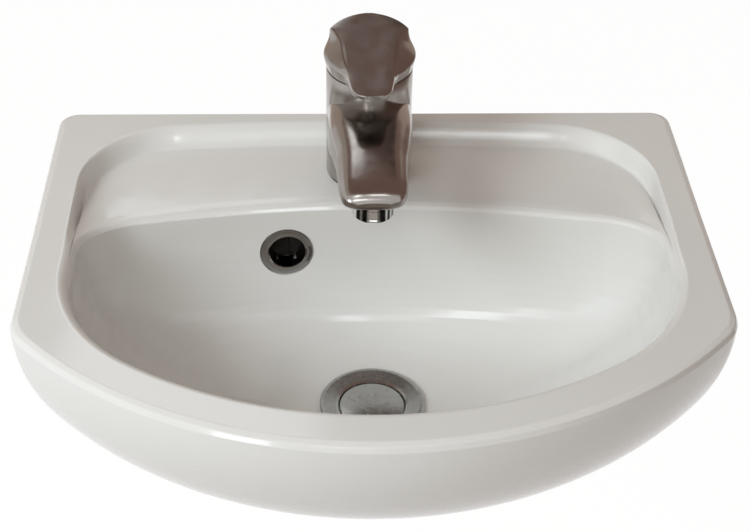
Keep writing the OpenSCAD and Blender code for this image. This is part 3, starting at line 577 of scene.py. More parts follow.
def outline(w, back, front, r_back, r_side, r_front, bow=0):
    """A D-shaped outline: a straight or bowed back, corners, sides, tighter bends and one big front arc."""
    front_c = np.array([0, front + r_front])
    side_y = front_c[1] - math.sqrt((r_front - r_side) ** 2 - (w - r_side) ** 2)
    side_a = math.degrees(math.atan2(side_y - front_c[1], w - r_side))
    if bow == 0:
        back_c = np.array([w - r_back, back - r_back])
        back_line = straight((0, back), (w - r_back, back), N_BACK)
        back_a = 90
    else:
        back_y = back - bow + math.sqrt((bow - r_back) ** 2 - (w - r_back) ** 2)
        back_c = np.array([w - r_back, back_y])
        back_a = math.degrees(math.atan2(back_y - back + bow, w - r_back))
        back_line = arc((0, back - bow), bow, 90, back_a, N_BACK)
    half = np.concatenate([
        back_line,
        arc(back_c, r_back, back_a, 0, N_CORNER),
        straight((w, back_c[1]), (w, side_y), N_SIDE),
        arc((w - r_side, side_y), r_side, 0, side_a, N_BEND),
        arc(front_c, r_front, side_a, -90, N_FRONT),
    ])
    other = half[:0:-1] * [-1, 1]
    return np.concatenate([half, [[0, front]], other])


def lifted(shape, side_z, back_z, from_y, to_y):
    """Gives an outline its height: side_z over the sides and the front, back_z towards the wall."""
    z = mix(side_z, back_z, smooth((shape[:, 1] - from_y) / (to_y - from_y)))
    return np.column_stack([shape, z])


def around_waste(shape, radius, z):
    from_waste = shape[:, :2] - [0, WASTE_Y]
    from_waste = radius * from_waste / np.linalg.norm(from_waste, axis=1, keepdims=True)
    return np.column_stack([from_waste + [0, WASTE_Y], np.full(len(shape), float(z))])


class BasinForm:
    """The rings and cutters of the cast basin."""

    def __init__(self, sizes):
        mm = SimpleNamespace(**{name: getattr(sizes, name) / MM for name in BasinSizes.__annotations__})
        self.mm = mm
        self.half = basin_high[0]
        self.depth = -basin_low[1]
        self.deck_z = -mm.deck_drop
        self.floor_z = -mm.bowl_depth
        self.under_z = self.floor_z - mm.floor_t
        self.collar_z = basin_low[2] - RIM
        self.hollow_top = self.deck_z - mm.deck_t
        self.floor_r = (waste_high[0] - waste_low[0]) / 2 + FLOOR_MARGIN
        self.overflow_at = RING_MIDDLE[0]
        self.overflow_z = RING_MIDDLE[2] - RIM
        sag = EDGE_BOW - math.sqrt(EDGE_BOW ** 2 - self.overflow_at ** 2)
        self.overflow_y = -mm.deck_len - sag - OVERFLOW_AHEAD
        to_overflow = np.array([self.overflow_at, self.overflow_y - WASTE_Y])
        self.duct_run = np.linalg.norm(to_overflow)
        self.along = to_overflow / self.duct_run
        self.across = np.array([-self.along[1], self.along[0]])
        self.duct_top = self.floor_z - DUCT_DROP
        self.duct_bottom = self.duct_top - DUCT_DEEP
        self.duct_far = self.duct_run + 5 + DUCT_DEEP

    def inside(self, inset, back, r_back, side_z, back_z, bow):
        """A ring of the bowl's edge or of the rim's inner edge."""
        mm = self.mm
        inner_w = self.half - mm.rim_side
        front_r = mm.front_r - mm.rim_front
        shape = outline(inner_w - inset, back, -self.depth + mm.rim_front + inset, r_back,
                        inner_w * INNER_BEND - inset, front_r - inset, bow)
        return lifted(shape, side_z, back_z, -mm.deck_len - EDGE_BLEND_FROM,
                      -mm.deck_len - EDGE_BLEND_TO)

    def outside(self, inset, side_z, back_inset, back_z):
        """A ring of the rim's outer roll."""
        mm = self.mm
        shape = outline(self.half - inset, -back_inset, -self.depth + inset,
                        mm.wall_corner_r - back_inset, mm.side_r, mm.front_r - inset)
        return lifted(shape, side_z, back_z, BLEND_FROM, RIM_BLEND_TO)

    def skirt(self, turn):
        """A ring of the skirt, which has turned inwards by some degrees."""
        mm = self.mm
        inset = mm.skirt_r * (1 - math.cos(math.radians(turn)))
        shape = outline(self.half - inset, 0, -self.depth + inset, mm.wall_corner_r,
                        mm.side_r + inset * SKIRT_ROUND, mm.front_r - inset)
        return lifted(shape, SKIRT_TOP - mm.skirt_r * math.sin(math.radians(turn)),
                      mix(SKIRT_TOP, 3 - mm.back_h, turn / SKIRT_TURN), BLEND_FROM, SKIRT_BLEND_TO)

    def bowl_ring(self, edge, foot, turn):
        """One ring of the bowl's wall, along quarter superellipses from the edge to the floor."""
        back = smooth((edge[:, 1] + self.mm.deck_len + 87) / 80)
        power = mix(FRONT_POWER, BACK_POWER, back)
        out = np.cos(math.radians(turn)) ** (2 / power)
        down = np.sin(math.radians(turn)) ** (2 / power)
        return np.column_stack([
            mix(foot[:, 0], edge[:, 0], out), mix(foot[:, 1], edge[:, 1], out),
            mix(edge[:, 2], self.floor_z, down)])

    def ridge(self):
        """A rounded ridge under the bowl that carries the overflow's passage."""
        half, turn = DUCT_W / 2 + DUCT_WALL, DUCT_WALL + 1
        low = self.duct_bottom - DUCT_WALL + turn
        bottom = np.concatenate([
            arc((turn - half, low), turn, 180, 270, 12), arc((half - turn, low), turn, 270, 372, 13)])
        side = [(-half, self.duct_top), *bottom, (half, self.duct_top)]

        def place(u, z, which):
            run = (which + 1) / 2 * (self.duct_far + DUCT_WALL)
            at = np.array([0, WASTE_Y]) + self.across * u + self.along * run
            return at[0], at[1], z + RIM

        return prism("ridge", side, place)

    def rings(self):
        """All rings of the casting, from the bowl's floor over the rim and the skirt to the collar's foot."""
        mm = self.mm
        deck, back = self.deck_z, -mm.deck_len
        rim_back, roll = -mm.rim_back, mm.rim_roll
        edge = self.inside(7, back - 2.2, 42, -7, deck - 3.8, EDGE_BOW)
        foot = around_waste(edge, self.floor_r, self.floor_z)
        bowl = [self.bowl_ring(edge, foot, turn) for turn in (85, 80, *range(74, 9, -6), 5)]
        upper = [
            edge,
            self.inside(6, back - 0.6, 42.5, -4.6, deck - 1.7, EDGE_BOW),
            self.inside(5.4, back + 2, 43, -3.2, deck - 0.6, EDGE_BOW),
            self.inside(4.6, back + 7, 44, -2.2, deck, EDGE_BOW),
            self.inside(4.3, rim_back - STEP_LEN - 5, 58, -1.9, deck, DECK_BOW),
        ]
        step_foot, step_reach = rim_back - STEP_LEN - 1.5, STEP_LEN + 4.5
        step = [self.inside(4.2 * (1 - t), step_foot + step_reach * t, 60 + 4 * t,
                            -1.8 * (1 - t) ** 2, deck * (1 - smooth(t)), DECK_BOW)
                for t in np.linspace(0, 1, 10)]
        outer = [self.outside(roll + 3, 0, 3.4, 0), self.outside(roll, 0, 2.2, 0),
                 self.outside(roll * 0.29, -roll * 0.29, 0.65, -0.65), self.outside(0, -roll, 0, -2.4)]
        skirts = [self.skirt(turn) for turn in np.linspace(0, SKIRT_TURN, 25)]
        turned = math.radians(SKIRT_TURN)
        inset = mm.skirt_r * (1 - math.cos(turned)) + 6
        foot_shape = outline(self.half - inset, -3, -self.depth + inset + 2, mm.wall_corner_r,
                             mm.side_r + 30, mm.front_r - inset)
        low = lifted(foot_shape, SKIRT_TOP - mm.skirt_r * math.sin(turned) - 3,
                     -mm.back_h, BLEND_FROM, SKIRT_BLEND_TO)
        goal = around_waste(low, mm.collar_d / 2 + 9, self.under_z - 1)
        under = [mix(low, goal, q) for q in np.linspace(0.1, 1, 10)]
        collar = [around_waste(edge, mm.collar_d / 2 + 3, self.under_z - 3),
                  around_waste(edge, mm.collar_d / 2, self.under_z - 8),
                  around_waste(edge, mm.collar_d / 2, self.collar_z)]
        return [foot, *bowl, *upper, *step, *outer, *skirts, low, *under, *collar]

    def casting(self):
        rings = chaikin(held(self.rings(), 2.5), 2)
        lift = np.array([0, 0, RIM])
        return stack_mesh("basin_glazed", [ring + lift for ring in rings],
                          (0, WASTE_Y, self.floor_z + RIM), (0, WASTE_Y, self.collar_z + RIM))

    def duct(self, name, side, width):
        """A prism in the upright plane through the waste and the overflow."""
        def place(run, z, which):
            at = np.array([0, WASTE_Y]) + self.along * run + self.across * which * width / 2
            return at[0], at[1], z + RIM

        return prism(name, side, place)

    def duct_outlines(self):
        """Side views of the overflow's passage and of the ceramic round it, from the waste outwards."""
        far = self.duct_far
        near = far - DUCT_DEEP
        head = self.overflow_z + RING_R - 2
        run, top, bottom, wall = self.duct_run, self.duct_top, self.duct_bottom, DUCT_WALL
        void = [(12, bottom), (run - 13, bottom), (far - 12, bottom + 16), (far - 1, bottom + 38),
                (far, head), (near, head), (near - 1, -70), (near - 10, top + 18), (run - 21, top + 2),
                (12, top)]
        shell = [(40, bottom - wall), (run, bottom - wall), (far + wall, bottom + 24),
                 (far + wall, head + wall), (40, head + wall)]
        return void, shell

    def hollow(self):
        """The room behind the bowl, open below, with the overflow's ridge left standing in it."""
        mm = self.mm
        top, panel, low = self.hollow_top, -mm.panel_t, self.collar_z - 30
        front = -(mm.deck_len - 15)
        side = [(panel, top), (front, top), (front - 1, top - 34), (front - 11, self.floor_z + 11),
                (front - 31, self.under_z + 5), (front - 31, low), (panel, low)]
        room = prism("hollow", side, lambda y, z, which: (which * self.half, y, z + RIM))
        half = mm.fixing_spacing / 2 + BOLT_CLEAR
        steps = [(half, low), (half, self.under_z + 20), (self.half - 48, self.under_z + 46),
                 (self.half - 28, top + 1)]
        face = steps + [(-x, z) for x, z in reversed(steps)]
        wedge = prism("wedge", face, lambda x, z, which: (
            x, which * self.depth / 2 - self.depth / 2, z + RIM))
        combine(room, wedge, "INTERSECT")
        _, shell = self.duct_outlines()
        return cut(room, self.duct("ridge", shell, DUCT_W + 2 * DUCT_WALL))

    def holes(self):
        """The cutters, one after the other."""
        mm = self.mm
        yield self.hollow()
        void, _ = self.duct_outlines()
        yield self.duct("passage", void, DUCT_W)
        yield rod("waste_hole", (0, WASTE_Y, basin_low[2] - 1), (0, WASTE_Y, self.floor_z + RIM + 20),
                  mm.waste_hole_d / 2, 128)
        yield rod("tap_hole", (0, TAP_Y, self.hollow_top + RIM - 5), (0, TAP_Y, self.deck_z + RIM + 5),
                  mm.tap_hole_d / 2, 96)
        pitch, yaw = math.radians(90 - OVERFLOW_TILT), math.asin(-self.overflow_at / EDGE_BOW)
        out = Matrix.Rotation(yaw, 3, "Z") @ Matrix.Rotation(pitch, 3, "X") @ Vector((0, 0, 1))
        mouth = Vector((self.overflow_at, self.overflow_y, self.overflow_z + RIM))
        yield rod("overflow_hole", mouth - out * 18, mouth + out * 12, mm.overflow_hole_d / 2, 96)
        yield rod("overflow_seat", mouth, mouth + out * 12, RING_R + 0.5, 96)
        for side in (-1, 1):
            x = side * mm.fixing_spacing / 2
            yield rod("fixing_hole", (x, 1, 0), (x, -mm.panel_t - 3, 0), mm.fixing_hole_d / 2, 64)


# The tap. Its heights count from the rim, and its y from the tap's axis.

HANDLE_GAP, AERATOR_DEEP = 2, 8.4
# Radius of a room in the mixer, and how far its foot lies below the pivot
CARTRIDGE_ROOM, NUT_ROOM = (17.7, 25.5), (19.5, 8.5)
INLET_X, INLET_R, INLET_DEEP = 8.5, 5, 25.5
INLET_MOUTH_R, INLET_MOUTH_DEEP = 6.6, 11.5
STUD_Y, STUD_R, STUD_DEEP = 13, 4, 14
# The spout's start, the drop of its roof below the column's top and the length of its rounded nose
SPOUT_START, ROOF_DROP, NOSE_LEN = -2, 13, 12
# Sections of the spout's neck: share of its length and taper, drop of its floor and roof, power
SPOUT_NECK = (
    (0.15, 0.05, 8, 0.4, 3.5), (0.35, 0.4, 5, 1.5, 3.1), (0.5, 0.74, 3, 2.9, 3), (0.7, 0.92, 1.2, 5, 3))
# Sections of its nose: share of its length, narrowing, rise of its floor, drop of its roof, power
SPOUT_NOSE = (
    (0.85, 0.1, -0.2, 6.8, 3), (0.92, 1, 0.5, 8.1, 3), (0.96, 2.4, 1.3, 9.9, 2.9),
    (0.98, 4, 2.3, 11.8, 2.8), (0.993, 6.4, 3.7, 13.8, 2.6), (1, 10, 5.4, 16, 2.4))

# Heights above the cap's foot: the handle's waist, and its sloping plate at the tip and at the back
WAIST, PLATE_TIP, PLATE_BACK = 8.5, 5, 20
# Degrees by which the stem leans forward at rest, and by which the lever lifts
STEM_LEAN, FULL_LIFT = 12.5, 25
STEM_HALF, SCREW_UP, SCREW_R = 4, 17, 2.5
# How far the plate's edge lies inside the round cap
PLATE_INSET = 0.4
# Sections of the round cap, by their share of its radius. At the back the plate fills it.
CAP_BACK = (0.505, 0.6, 0.7, 0.78, 0.85, 0.91, 0.955, 0.99)
# Towards the middle: share, and the plate's half width beyond the lever's
CAP_MIDDLE = ((0.43, 10.9), (0.35, 9.4), (0.26, 7.9), (0.17, 6.6), (0, 5))
# In front of it: share, widening, drop of the waist, and the plate's half width beyond the lever's
CAP_FRONT = ((0.25, 0, 0.5, 4), (0.5, 0, 1, 3.3), (0.7, 0.3, 1.6, 2.7))
# Sections of the lever's blade: share of the way from the cap to the tip, half width beyond the lever's, rise
# of its underside, drop of the waist, and the plate's half width beyond the lever's
BLADE = (
    (-0.24, 5, 0.1, 2.4, 2.2), (0, 2.6, 0.4, 3, 1.6), (0.35, 1.4, 1, 3.6, 0.7), (0.65, 0.2, 1.6, 4.2, -0.5),
    (0.85, -2, 2, 4.6, -2.6), (0.95, -4.8, 2.2, 4.8, -5.3), (1, -8.4, 2.5, 4.9, -8.8))


def superellipse(y, half, low, high, power, count=96):
    """An upright rounded-box section across the spout."""
    angle = np.linspace(0, TURN, count, endpoint=False)
    across, up = np.cos(angle), np.sin(angle)
    x = half * np.sign(across) * np.abs(across) ** (2 / power)
    z = (low + high) / 2 + (high - low) / 2 * np.sign(up) * np.abs(up) ** (2 / power)
    return np.column_stack([x, np.full(count, y), z])


def at_tap(rings):
    """Moves rings into the row's frame."""
    return [ring + np.array([0, TAP_Y, RIM]) for ring in rings]


class TapForm:
    """The outer shell of the mixer and its lever, with the rooms that open into it."""

    def __init__(self, sizes):
        self.nose = sizes.nose_w / MM / 2
        self.lever = sizes.lever_w / MM / 2
        self.edge = sizes.edge_r / MM
        self.half = (column_high[0] - column_low[0]) / 2
        self.low = column_low[2] - RIM
        self.top = column_high[2] - RIM
        self.aerator_y = (aerator_low[1] + aerator_high[1]) / 2 - TAP_Y
        self.aerator_r = (aerator_high[0] - aerator_low[0]) / 2
        self.outlet = aerator_low[2] - RIM
        self.nose_z = self.outlet + AERATOR_DEEP
        self.pivot_z = pivot[2] - RIM
        self.cap_z = self.top + HANDLE_GAP
        self.reach = -(handle_low[1] - TAP_Y)
        self.cap_r = (handle_high[0] - handle_low[0]) / 2
        self.cover_r = math.hypot(self.half - 1, self.top - self.pivot_z)

    def column(self):
        half, top, low = self.half, self.top, self.low
        piece = revolved("mixer_shell", [
            (0.01, low), (half - 0.6, low), (half, low + 0.6), (half, top - 0.8), (half - 0.25, top - 0.25),
            (half - 0.8, top), (0.01, top)], 192)
        for vertex in piece.data.vertices:
            vertex.co += Vector((0, TAP_Y * MM, RIM * MM))
        return piece

    def spout(self):
        half, nose, low, under = self.half, self.nose, self.low, self.nose_z
        tip = self.aerator_y - self.aerator_r - 2.8
        roof, wide = self.top - ROOF_DROP, half - 1

        def along(t):
            return mix(-half, tip, t)

        stations = [(SPOUT_START, half - 0.3, low + 12, roof - 2, 4),
                    (along(0), half - 0.5, low + 19, roof, 4)]
        stations += [(along(at), mix(wide, nose, taper), under - floor, roof - drop, power)
                     for at, taper, floor, drop, power in SPOUT_NECK]
        stations += [(along(at), nose - narrow, under + floor, roof - drop, power)
                     for at, narrow, floor, drop, power in SPOUT_NOSE]
        turned = np.radians(np.linspace(0, 90, 24))
        places = np.concatenate([np.linspace(SPOUT_START, tip + NOSE_LEN, 56)[:-1],
                                 tip + NOSE_LEN * (1 - np.sin(turned))])
        rows = between(stations, places, np.clip((places - tip) * 0.22, 0.1, 6))
        rings = [superellipse(y, *row) for y, row in zip(places, rows)]
        middle = np.array([0, 0, under + 8])
        first, last = (np.array([0, y, 0]) + middle + [0, TAP_Y, RIM] for y in (SPOUT_START, tip))
        return stack_mesh("spout", at_tap(rings), first, last)

    def mixer_cuts(self):
        base = np.array([0, TAP_Y, RIM])
        low, top, pivot_z, outlet = self.low, self.top, self.pivot_z, self.outlet
        for name, (radius, foot) in (("room", CARTRIDGE_ROOM), ("nut_room", NUT_ROOM)):
            yield rod(name, base + [0, 0, pivot_z - foot], base + [0, 0, top + 5], radius, 96)
        yield rod("aerator_bore", base + [0, self.aerator_y, outlet],
                  base + [0, self.aerator_y, self.nose_z + 12], self.aerator_r - 0.3, 96)
        for side in (-1, 1):
            at = base + [side * INLET_X, 0, low]
            yield rod("inlet_mouth", at - [0, 0, 1], at + [0, 0, INLET_MOUTH_DEEP], INLET_MOUTH_R)
            yield rod("inlet", at + [0, 0, INLET_MOUTH_DEEP - 1], at + [0, 0, INLET_DEEP], INLET_R)
        yield rod("stud_bore", base + [0, STUD_Y, low - 1], base + [0, STUD_Y, low + STUD_DEEP], STUD_R)
        yield rod("aerator_seat", base + [0, self.aerator_y, outlet - 8],
                  base + [0, self.aerator_y, self.nose_z], self.aerator_r + 0.2, 96)

    def body(self):
        piece = combine(self.column(), self.spout(), "UNION")
        for cutter in list(self.mixer_cuts()):
            cut(piece, cutter)
        return piece

    def plate_z(self, y):
        """Height of the sloping plate."""
        share = (y + self.reach) / (self.cap_r + self.reach)
        return mix(self.cap_z + PLATE_TIP, self.cap_z + PLATE_BACK, share)

    def drum(self, y):
        """Half width of the round cap."""
        return np.sqrt(np.maximum(1, self.cap_r * self.cap_r - y * y))

    def handle_section(self, y, half, low, waist, face):
        """A section across the handle: the flat plate, leaning side facets and a tucked-in underside."""
        high = self.plate_z(y)
        deep = min(1, (high - low) / 9)
        corners = [(face, high - 0.3 * deep), (half, waist), (half * 0.93, low), (-half * 0.93, low),
                   (-half, waist), (-face, high - 0.3 * deep), (0, high - 0.6 * deep)]
        edge = self.edge * min(1, face / 6)
        flat = rounded(corners, [edge, 2.6 * deep, 0.9 * deep, 0.9 * deep, 2.6 * deep, edge, 14], 9)
        return np.column_stack([flat[:, 0], np.full(len(flat), y), flat[:, 1]])

    def handle_rows(self):
        """Places from the tip to the back, with each one's half width, underside, waist and plate."""
        r, z, lever, reach, drum = self.cap_r, self.cap_z, self.lever, self.reach, self.drum
        waist = z + WAIST
        stations = [(y * r, drum(y * r), z, waist, drum(y * r) - PLATE_INSET) for y in CAP_BACK]
        stations += [(y * r, drum(y * r), z, waist, lever + face) for y, face in CAP_MIDDLE]
        stations += [(-r * at, drum(r * at) + wider, z, waist - tuck, lever + face)
                     for at, wider, tuck, face in CAP_FRONT]
        stations += [(-mix(r, reach, at), lever + half, z + low, waist - tuck, lever + face)
                     for at, half, low, tuck, face in BLADE]
        places = np.concatenate([
            np.linspace(-reach, -reach + 6, 14)[:-1], np.linspace(-reach + 6, r * 0.9, 74)[:-1],
            r * np.sin(np.radians(np.linspace(64.2, 88.5, 16)))])
        rows = between(stations, places, 0.9)
        round_part = places > -0.55 * r
        rows[round_part, 0] = drum(places[round_part])
        on_arc = places > 0.51 * r
        rows[on_arc, 3] = drum(places[on_arc]) - PLATE_INSET
        rows[:, 3] = np.minimum(rows[:, 3], rows[:, 0] - 0.3)
        return places, rows

    def cap_room(self, centre, stem):
        """The room under the cap, with the stem's socket left standing in it."""
        room = ball("room", centre, self.cover_r + 0.6)
        tilt = math.atan2(PLATE_BACK - PLATE_TIP, self.cap_r + self.reach)
        ceiling = (self.plate_z(0) - self.pivot_z) * math.cos(tilt) - 3.2
        cut(room, block("plate_block", centre, tilted(tilt), 60, (ceiling, ceiling + 60), (-60, 60)))
        return cut(room, rod("socket", centre + stem * 12, centre + stem * 39, 8.5, 64))

    def handle(self):
        places, rows = self.handle_rows()
        rings = [self.handle_section(y, *row) for y, row in zip(places, rows)][::-1]
        piece = stack_mesh(
            "handle_shell", at_tap(rings), (0, TAP_Y + places[-1] + 0.05, self.cap_z + WAIST + RIM),
            (0, TAP_Y - self.reach, self.cap_z + 3.7 + RIM))
        centre = np.array([0, TAP_Y, pivot[2]])
        lean = math.radians(STEM_LEAN)
        leaning = tilted(lean)
        cut(piece, self.cap_room(centre, leaning[0]))
        fit = STEM_HALF + 0.1
        cut(piece, block("stem_socket", centre, leaning, fit, (11, 22.2), (-fit, fit)))
        foot = self.top - self.pivot_z + 0.4
        lifting = tilted(math.radians(FULL_LIFT))
        cut(piece, block("relief", centre, lifting, 57, (foot - 30, foot), (0, 56)))
        screw_y = TAP_Y - SCREW_UP * math.sin(lean) + STEM_HALF / math.cos(lean) + SCREW_R * math.tan(lean)
        screw = np.array([0, screw_y, pivot[2] + SCREW_UP * math.cos(lean)])
        return cut(piece, rod("screw_way", screw, screw + [0, 60, 0], SCREW_R, 48))


# Operators


def sizes():
    scene = bpy.context.scene
    return scene.washbasin_basin, scene.washbasin_tap, scene.washbasin_finishes


class WASHBASIN_OT_basin(bpy.types.Operator):
    """Cast the glazed basin with its bowl, deck, rim, skirt and holes"""
    bl_idname = "washbasin.basin"
    bl_label = "Glazed basin"

    def execute(self, context):
        basin_sizes, _, colors = sizes()
        form = BasinForm(basin_sizes)
        piece = combine(form.casting(), form.ridge(), "UNION")
        for hole in form.holes():
            cut(piece, hole)
        shade(piece, 38)
        dress(piece, "washbasin", "glazed_ceramic", glaze(colors), "basin")
        return {"FINISHED"}


class WASHBASIN_OT_mixer(bpy.types.Operator):
    """Make the mixer's column and spout"""
    bl_idname = "washbasin.mixer"
    bl_label = "Mixer body"

    def execute(self, context):
        _, tap_sizes, colors = sizes()
        piece = TapForm(tap_sizes).body()
        shade(piece, 30)
        dress(piece, "washbasin", "chrome", satin_chrome(colors), "mixer_body")
        return {"FINISHED"}


class WASHBASIN_OT_handle(bpy.types.Operator):
    """Make the lever handle"""
    bl_idname = "washbasin.handle"
    bl_label = "Lever handle"

    def execute(self, context):
        _, tap_sizes, colors = sizes()
        piece = TapForm(tap_sizes).handle()
        shade(piece, 30)
        dress(piece, "lever", "chrome", satin_chrome(colors), "lever_handle")
        return {"FINISHED"}


class WASHBASIN_OT_fittings(bpy.types.Operator):
    """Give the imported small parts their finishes"""
    bl_idname = "washbasin.fittings"
    bl_label = "Small parts"

    def execute(self, context):
        _, _, colors = sizes()
        finishes = {
            "glazed_ceramic": glaze(colors), "chrome": bright_chrome(colors), "brass": brass(colors),
            "rubber": rubber(colors), "plastic": moulded_plastic(colors), "steel": steel(colors),
            "disc_ceramic": lapped_ceramic(colors)}
        # The aerator's rim gets a painted reflection, the overflow's ring painted shade inside
        own = {"waste_body": brushed_chrome(colors), "waste_plug": brushed_chrome(colors),
               "cartridge_cover": satin_chrome(colors), "overflow_ring": hollow_chrome(colors),
               "aerator_housing": painted_reflection_chrome(colors)}
        slots = {part["node"]: part["material_slot"] for part in frame["record"]["subparts"]}
        for name, part in frame["nodes"].items():
            coat(part, own.get(name, finishes[slots[name]]))
        return {"FINISHED"}


class WASHBASIN_OT_stage(bpy.types.Operator):
    """Set up the camera, the floor and the lights"""
    bl_idname = "washbasin.stage"
    bl_label = "Studio"

    def execute(self, context):
        place_camera(context.scene.washbasin_camera)
        stage_floor()
        stage_world()
        stage_lights()
        return {"FINISHED"}


# The studio, in metres

FLOOR_BELOW, FLOOR_REACH = 0.85, 6.0
FLOOR_COLOR = (0.8, 0.8, 0.8)
# How bright the camera sees the floor, and how much of that is the floor's own light
FLOOR_WHITE, FLOOR_SHARE = 1.06, 0.9
ROOM_COLOR, ROOM_STRENGTH = (1.0, 0.85, 0.75), 0.345
SENSOR_MM = 36
BROWN = (0.25, 0.165, 0.14)


def daylight(glow):
    return 0.92 * glow, 0.97 * glow, glow


LAMP_AIM = (0, -0.16, 0.0)
# Place, width, power and colour of each lamp
LAMPS = {
    "key": ((-1.4, -1.05, 1.12), 0.8, 24.5, (0.90, 0.98, 1.02)),
    "front": ((-0.35, -1.75, 1.25), 0.6, 9.5, (0.92, 0.98, 1.0)),
    "top": ((0.1, 0.1, 1.5), 1.4, 0.8, (1.0, 0.94, 0.87)),
}
# Two opposite corners and the colour of each panel that shows in reflections
CARDS = {
    "ceiling": ((-1.3, -2.5, 2.2), (2.5, 2.9, 2.2), BROWN),
    "left_ceiling": ((-2.6, -2.5, 2.2), (-1.3, 2.9, 2.2), (0.52, 0.47, 0.42)),
    "back_window": ((-0.7, 1.68, 2.1), (-0.04, 2.9, 2.1), (1.9, 2.0, 2.05)),
    "dark_beam": ((-0.02, 1.68, 2.1), (1.0, 2.9, 2.1), (0.05, 0.045, 0.04)),
    "back_wall": ((-2.6, 2.9, -0.7), (2.5, 2.9, 2.2), (0.55, 0.45, 0.39)),
    "right_wall": ((2.2, -2.5, -0.7), (2.2, 2.5, 2.2), BROWN),
    "front_window": ((-0.42, -2.0, 0.2), (-0.02, -2.0, 0.5), daylight(6)),
    "tall_window": ((-0.42, -2.0, 1.0), (-0.26, -2.0, 1.7), daylight(6)),
    "high_window": ((0.08, -2.0, 1.42), (0.28, -2.0, 1.75), daylight(7)),
    "side_window": ((-1.4, -2.0, -0.2), (-0.8, -2.0, 0.3), daylight(7)),
}


def place_camera(settings):
    camera = linked("camera", bpy.data.cameras.new("camera"))
    camera.data.sensor_width = SENSOR_MM
    camera.data.lens = SENSOR_MM * settings.focal_px / PHOTO_WIDTH
    camera.data.clip_start = 0.01
    yaw, pitch, roll = settings.yaw, settings.pitch, settings.roll
    ahead = Vector((-math.sin(yaw) * math.cos(pitch), math.cos(yaw) * math.cos(pitch), -math.sin(pitch)))
    right = Vector((math.cos(yaw), math.sin(yaw), 0))
    up = right.cross(ahead)
    side = right * math.cos(roll) + up * math.sin(roll)
    top = up * math.cos(roll) - right * math.sin(roll)
    turn = Matrix((side, top, -ahead)).transposed().to_4x4()
    camera.matrix_world = Matrix.Translation(Vector(settings.place) + Vector((0, 0, RIM * MM))) @ turn
    bpy.context.scene.camera = camera


def seen_directly(tree):
    """1 for what the camera sees itself, in metal or through glass, 0 for the light that surfaces gather."""
    rays = tree.nodes.new("ShaderNodeLightPath").outputs
    either = rays["Is Camera Ray"]
    for kind in ("Is Glossy Ray", "Is Transmission Ray"):
        either = add(tree, "ShaderNodeMath", {0: either, 1: rays[kind]}, "MAXIMUM").outputs[0]
    return either


def stage_floor():
    """A wide pale floor that shows white to the camera and keeps a faint shadow."""
    reach = FLOOR_REACH / MM
    corners = [(-reach, -reach), (reach, -reach), (reach, reach), (-reach, reach)]
    floor = mesh_object("floor", [(x, y, RIM - FLOOR_BELOW / MM) for x, y in corners], [(0, 1, 2, 3)])
    finish = bpy.data.materials.new("floor")
    tree = cleared(finish)
    diffuse = add(tree, "ShaderNodeBsdfDiffuse", {"Color": (*FLOOR_COLOR, 1)}).outputs[0]
    white = add(tree, "ShaderNodeEmission", {"Strength": FLOOR_WHITE}).outputs[0]
    faint = add(tree, "ShaderNodeMixShader", {"Fac": FLOOR_SHARE, 1: diffuse, 2: white}).outputs[0]
    seen = add(tree, "ShaderNodeMixShader", {"Fac": seen_directly(tree), 1: diffuse, 2: faint})
    add(tree, "ShaderNodeOutputMaterial", {"Surface": seen.outputs[0]})
    coat(floor, finish)


def stage_world():
    """White to the camera and in reflections, a soft warm room for the light."""
    world = bpy.data.worlds.new("studio")
    tree = cleared(world)
    room = add(tree, "ShaderNodeBackground", {"Color": (*ROOM_COLOR, 1), "Strength": ROOM_STRENGTH})
    white = add(tree, "ShaderNodeBackground", {})
    pick = add(tree, "ShaderNodeMixShader", {
        "Fac": seen_directly(tree), 1: room.outputs[0], 2: white.outputs[0]})
    add(tree, "ShaderNodeOutputWorld", {"Surface": pick.outputs[0]})
    bpy.context.scene.world = world


def softbox(name, place, width, power, color):
    lamp = bpy.data.lights.new(name, "AREA")
    lamp.shape = "RECTANGLE"
    lamp.size = lamp.size_y = width
    lamp.energy = power
    lamp.color = color
    light = linked(name, lamp)
    light.location = place
    aim = Vector(LAMP_AIM) - Vector(place)
    light.rotation_euler = aim.to_track_quat("-Z", "Y").to_euler()
    light.visible_glossy = False


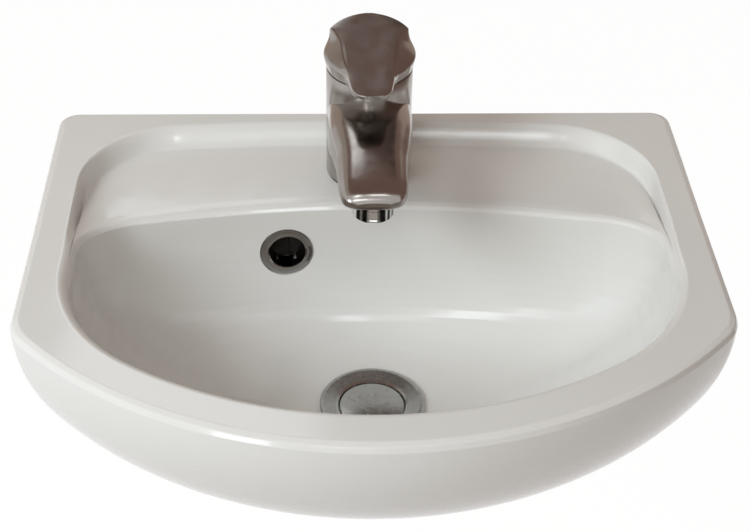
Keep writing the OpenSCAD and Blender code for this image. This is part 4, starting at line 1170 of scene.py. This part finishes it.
def card(name, low, high, color):
    """A coloured panel, level or upright, that only shows in reflections and bounces no light."""
    first = next(axis for axis in range(3) if low[axis] != high[axis])
    corners = np.array([low, low, high, high], float)
    corners[1, first], corners[3, first] = high[first], low[first]
    panel = mesh_object(name, corners / MM, [(0, 1, 2, 3)])
    finish = bpy.data.materials.new(name)
    tree = cleared(finish)
    glow = add(tree, "ShaderNodeEmission", {"Color": (*color, 1)})
    add(tree, "ShaderNodeOutputMaterial", {"Surface": glow.outputs[0]})
    coat(panel, finish)
    panel.visible_camera = False
    panel.visible_diffuse = False
    panel.visible_shadow = False


def stage_lights():
    for name, lamp in LAMPS.items():
        softbox(name, *lamp)
    for name, panel in CARDS.items():
        card(name, *panel)


class WASHBASIN_PT_panel(bpy.types.Panel):
    """Lists the steps in their order"""
    bl_label = "Washbasin"
    bl_idname = "WASHBASIN_PT_panel"
    bl_space_type = "VIEW_3D"
    bl_region_type = "UI"
    bl_category = "Washbasin"

    def draw(self, context):
        for step in STEPS:
            self.layout.operator(step.bl_idname)
        for group in ("washbasin_basin", "washbasin_tap", "washbasin_finishes"):
            settings = getattr(context.scene, group)
            for name in type(settings).__annotations__:
                self.layout.prop(settings, name)


STEPS = (
    WASHBASIN_OT_basin, WASHBASIN_OT_mixer, WASHBASIN_OT_handle, WASHBASIN_OT_fittings, WASHBASIN_OT_stage)
GROUPS = {"washbasin_basin": BasinSizes, "washbasin_tap": TapSizes, "washbasin_finishes": Finishes,
          "washbasin_camera": CameraPlace}


def register():
    for kind in (*GROUPS.values(), *STEPS, WASHBASIN_PT_panel):
        bpy.utils.register_class(kind)
    for name, group in GROUPS.items():
        setattr(bpy.types.Scene, name, bpy.props.PointerProperty(type=group))


def unregister():
    for name in GROUPS:
        delattr(bpy.types.Scene, name)
    for kind in (WASHBASIN_PT_panel, *reversed(STEPS), *reversed(list(GROUPS.values()))):
        bpy.utils.unregister_class(kind)


def main():
    register()
    bpy.context.scene.view_settings.view_transform = "Standard"
    bpy.ops.washbasin.basin()
    bpy.ops.washbasin.mixer()
    bpy.ops.washbasin.handle()
    bpy.ops.washbasin.fittings()
    bpy.ops.washbasin.stage()
    bpy.context.view_layer.update()


if __name__ == "__main__":
    main()
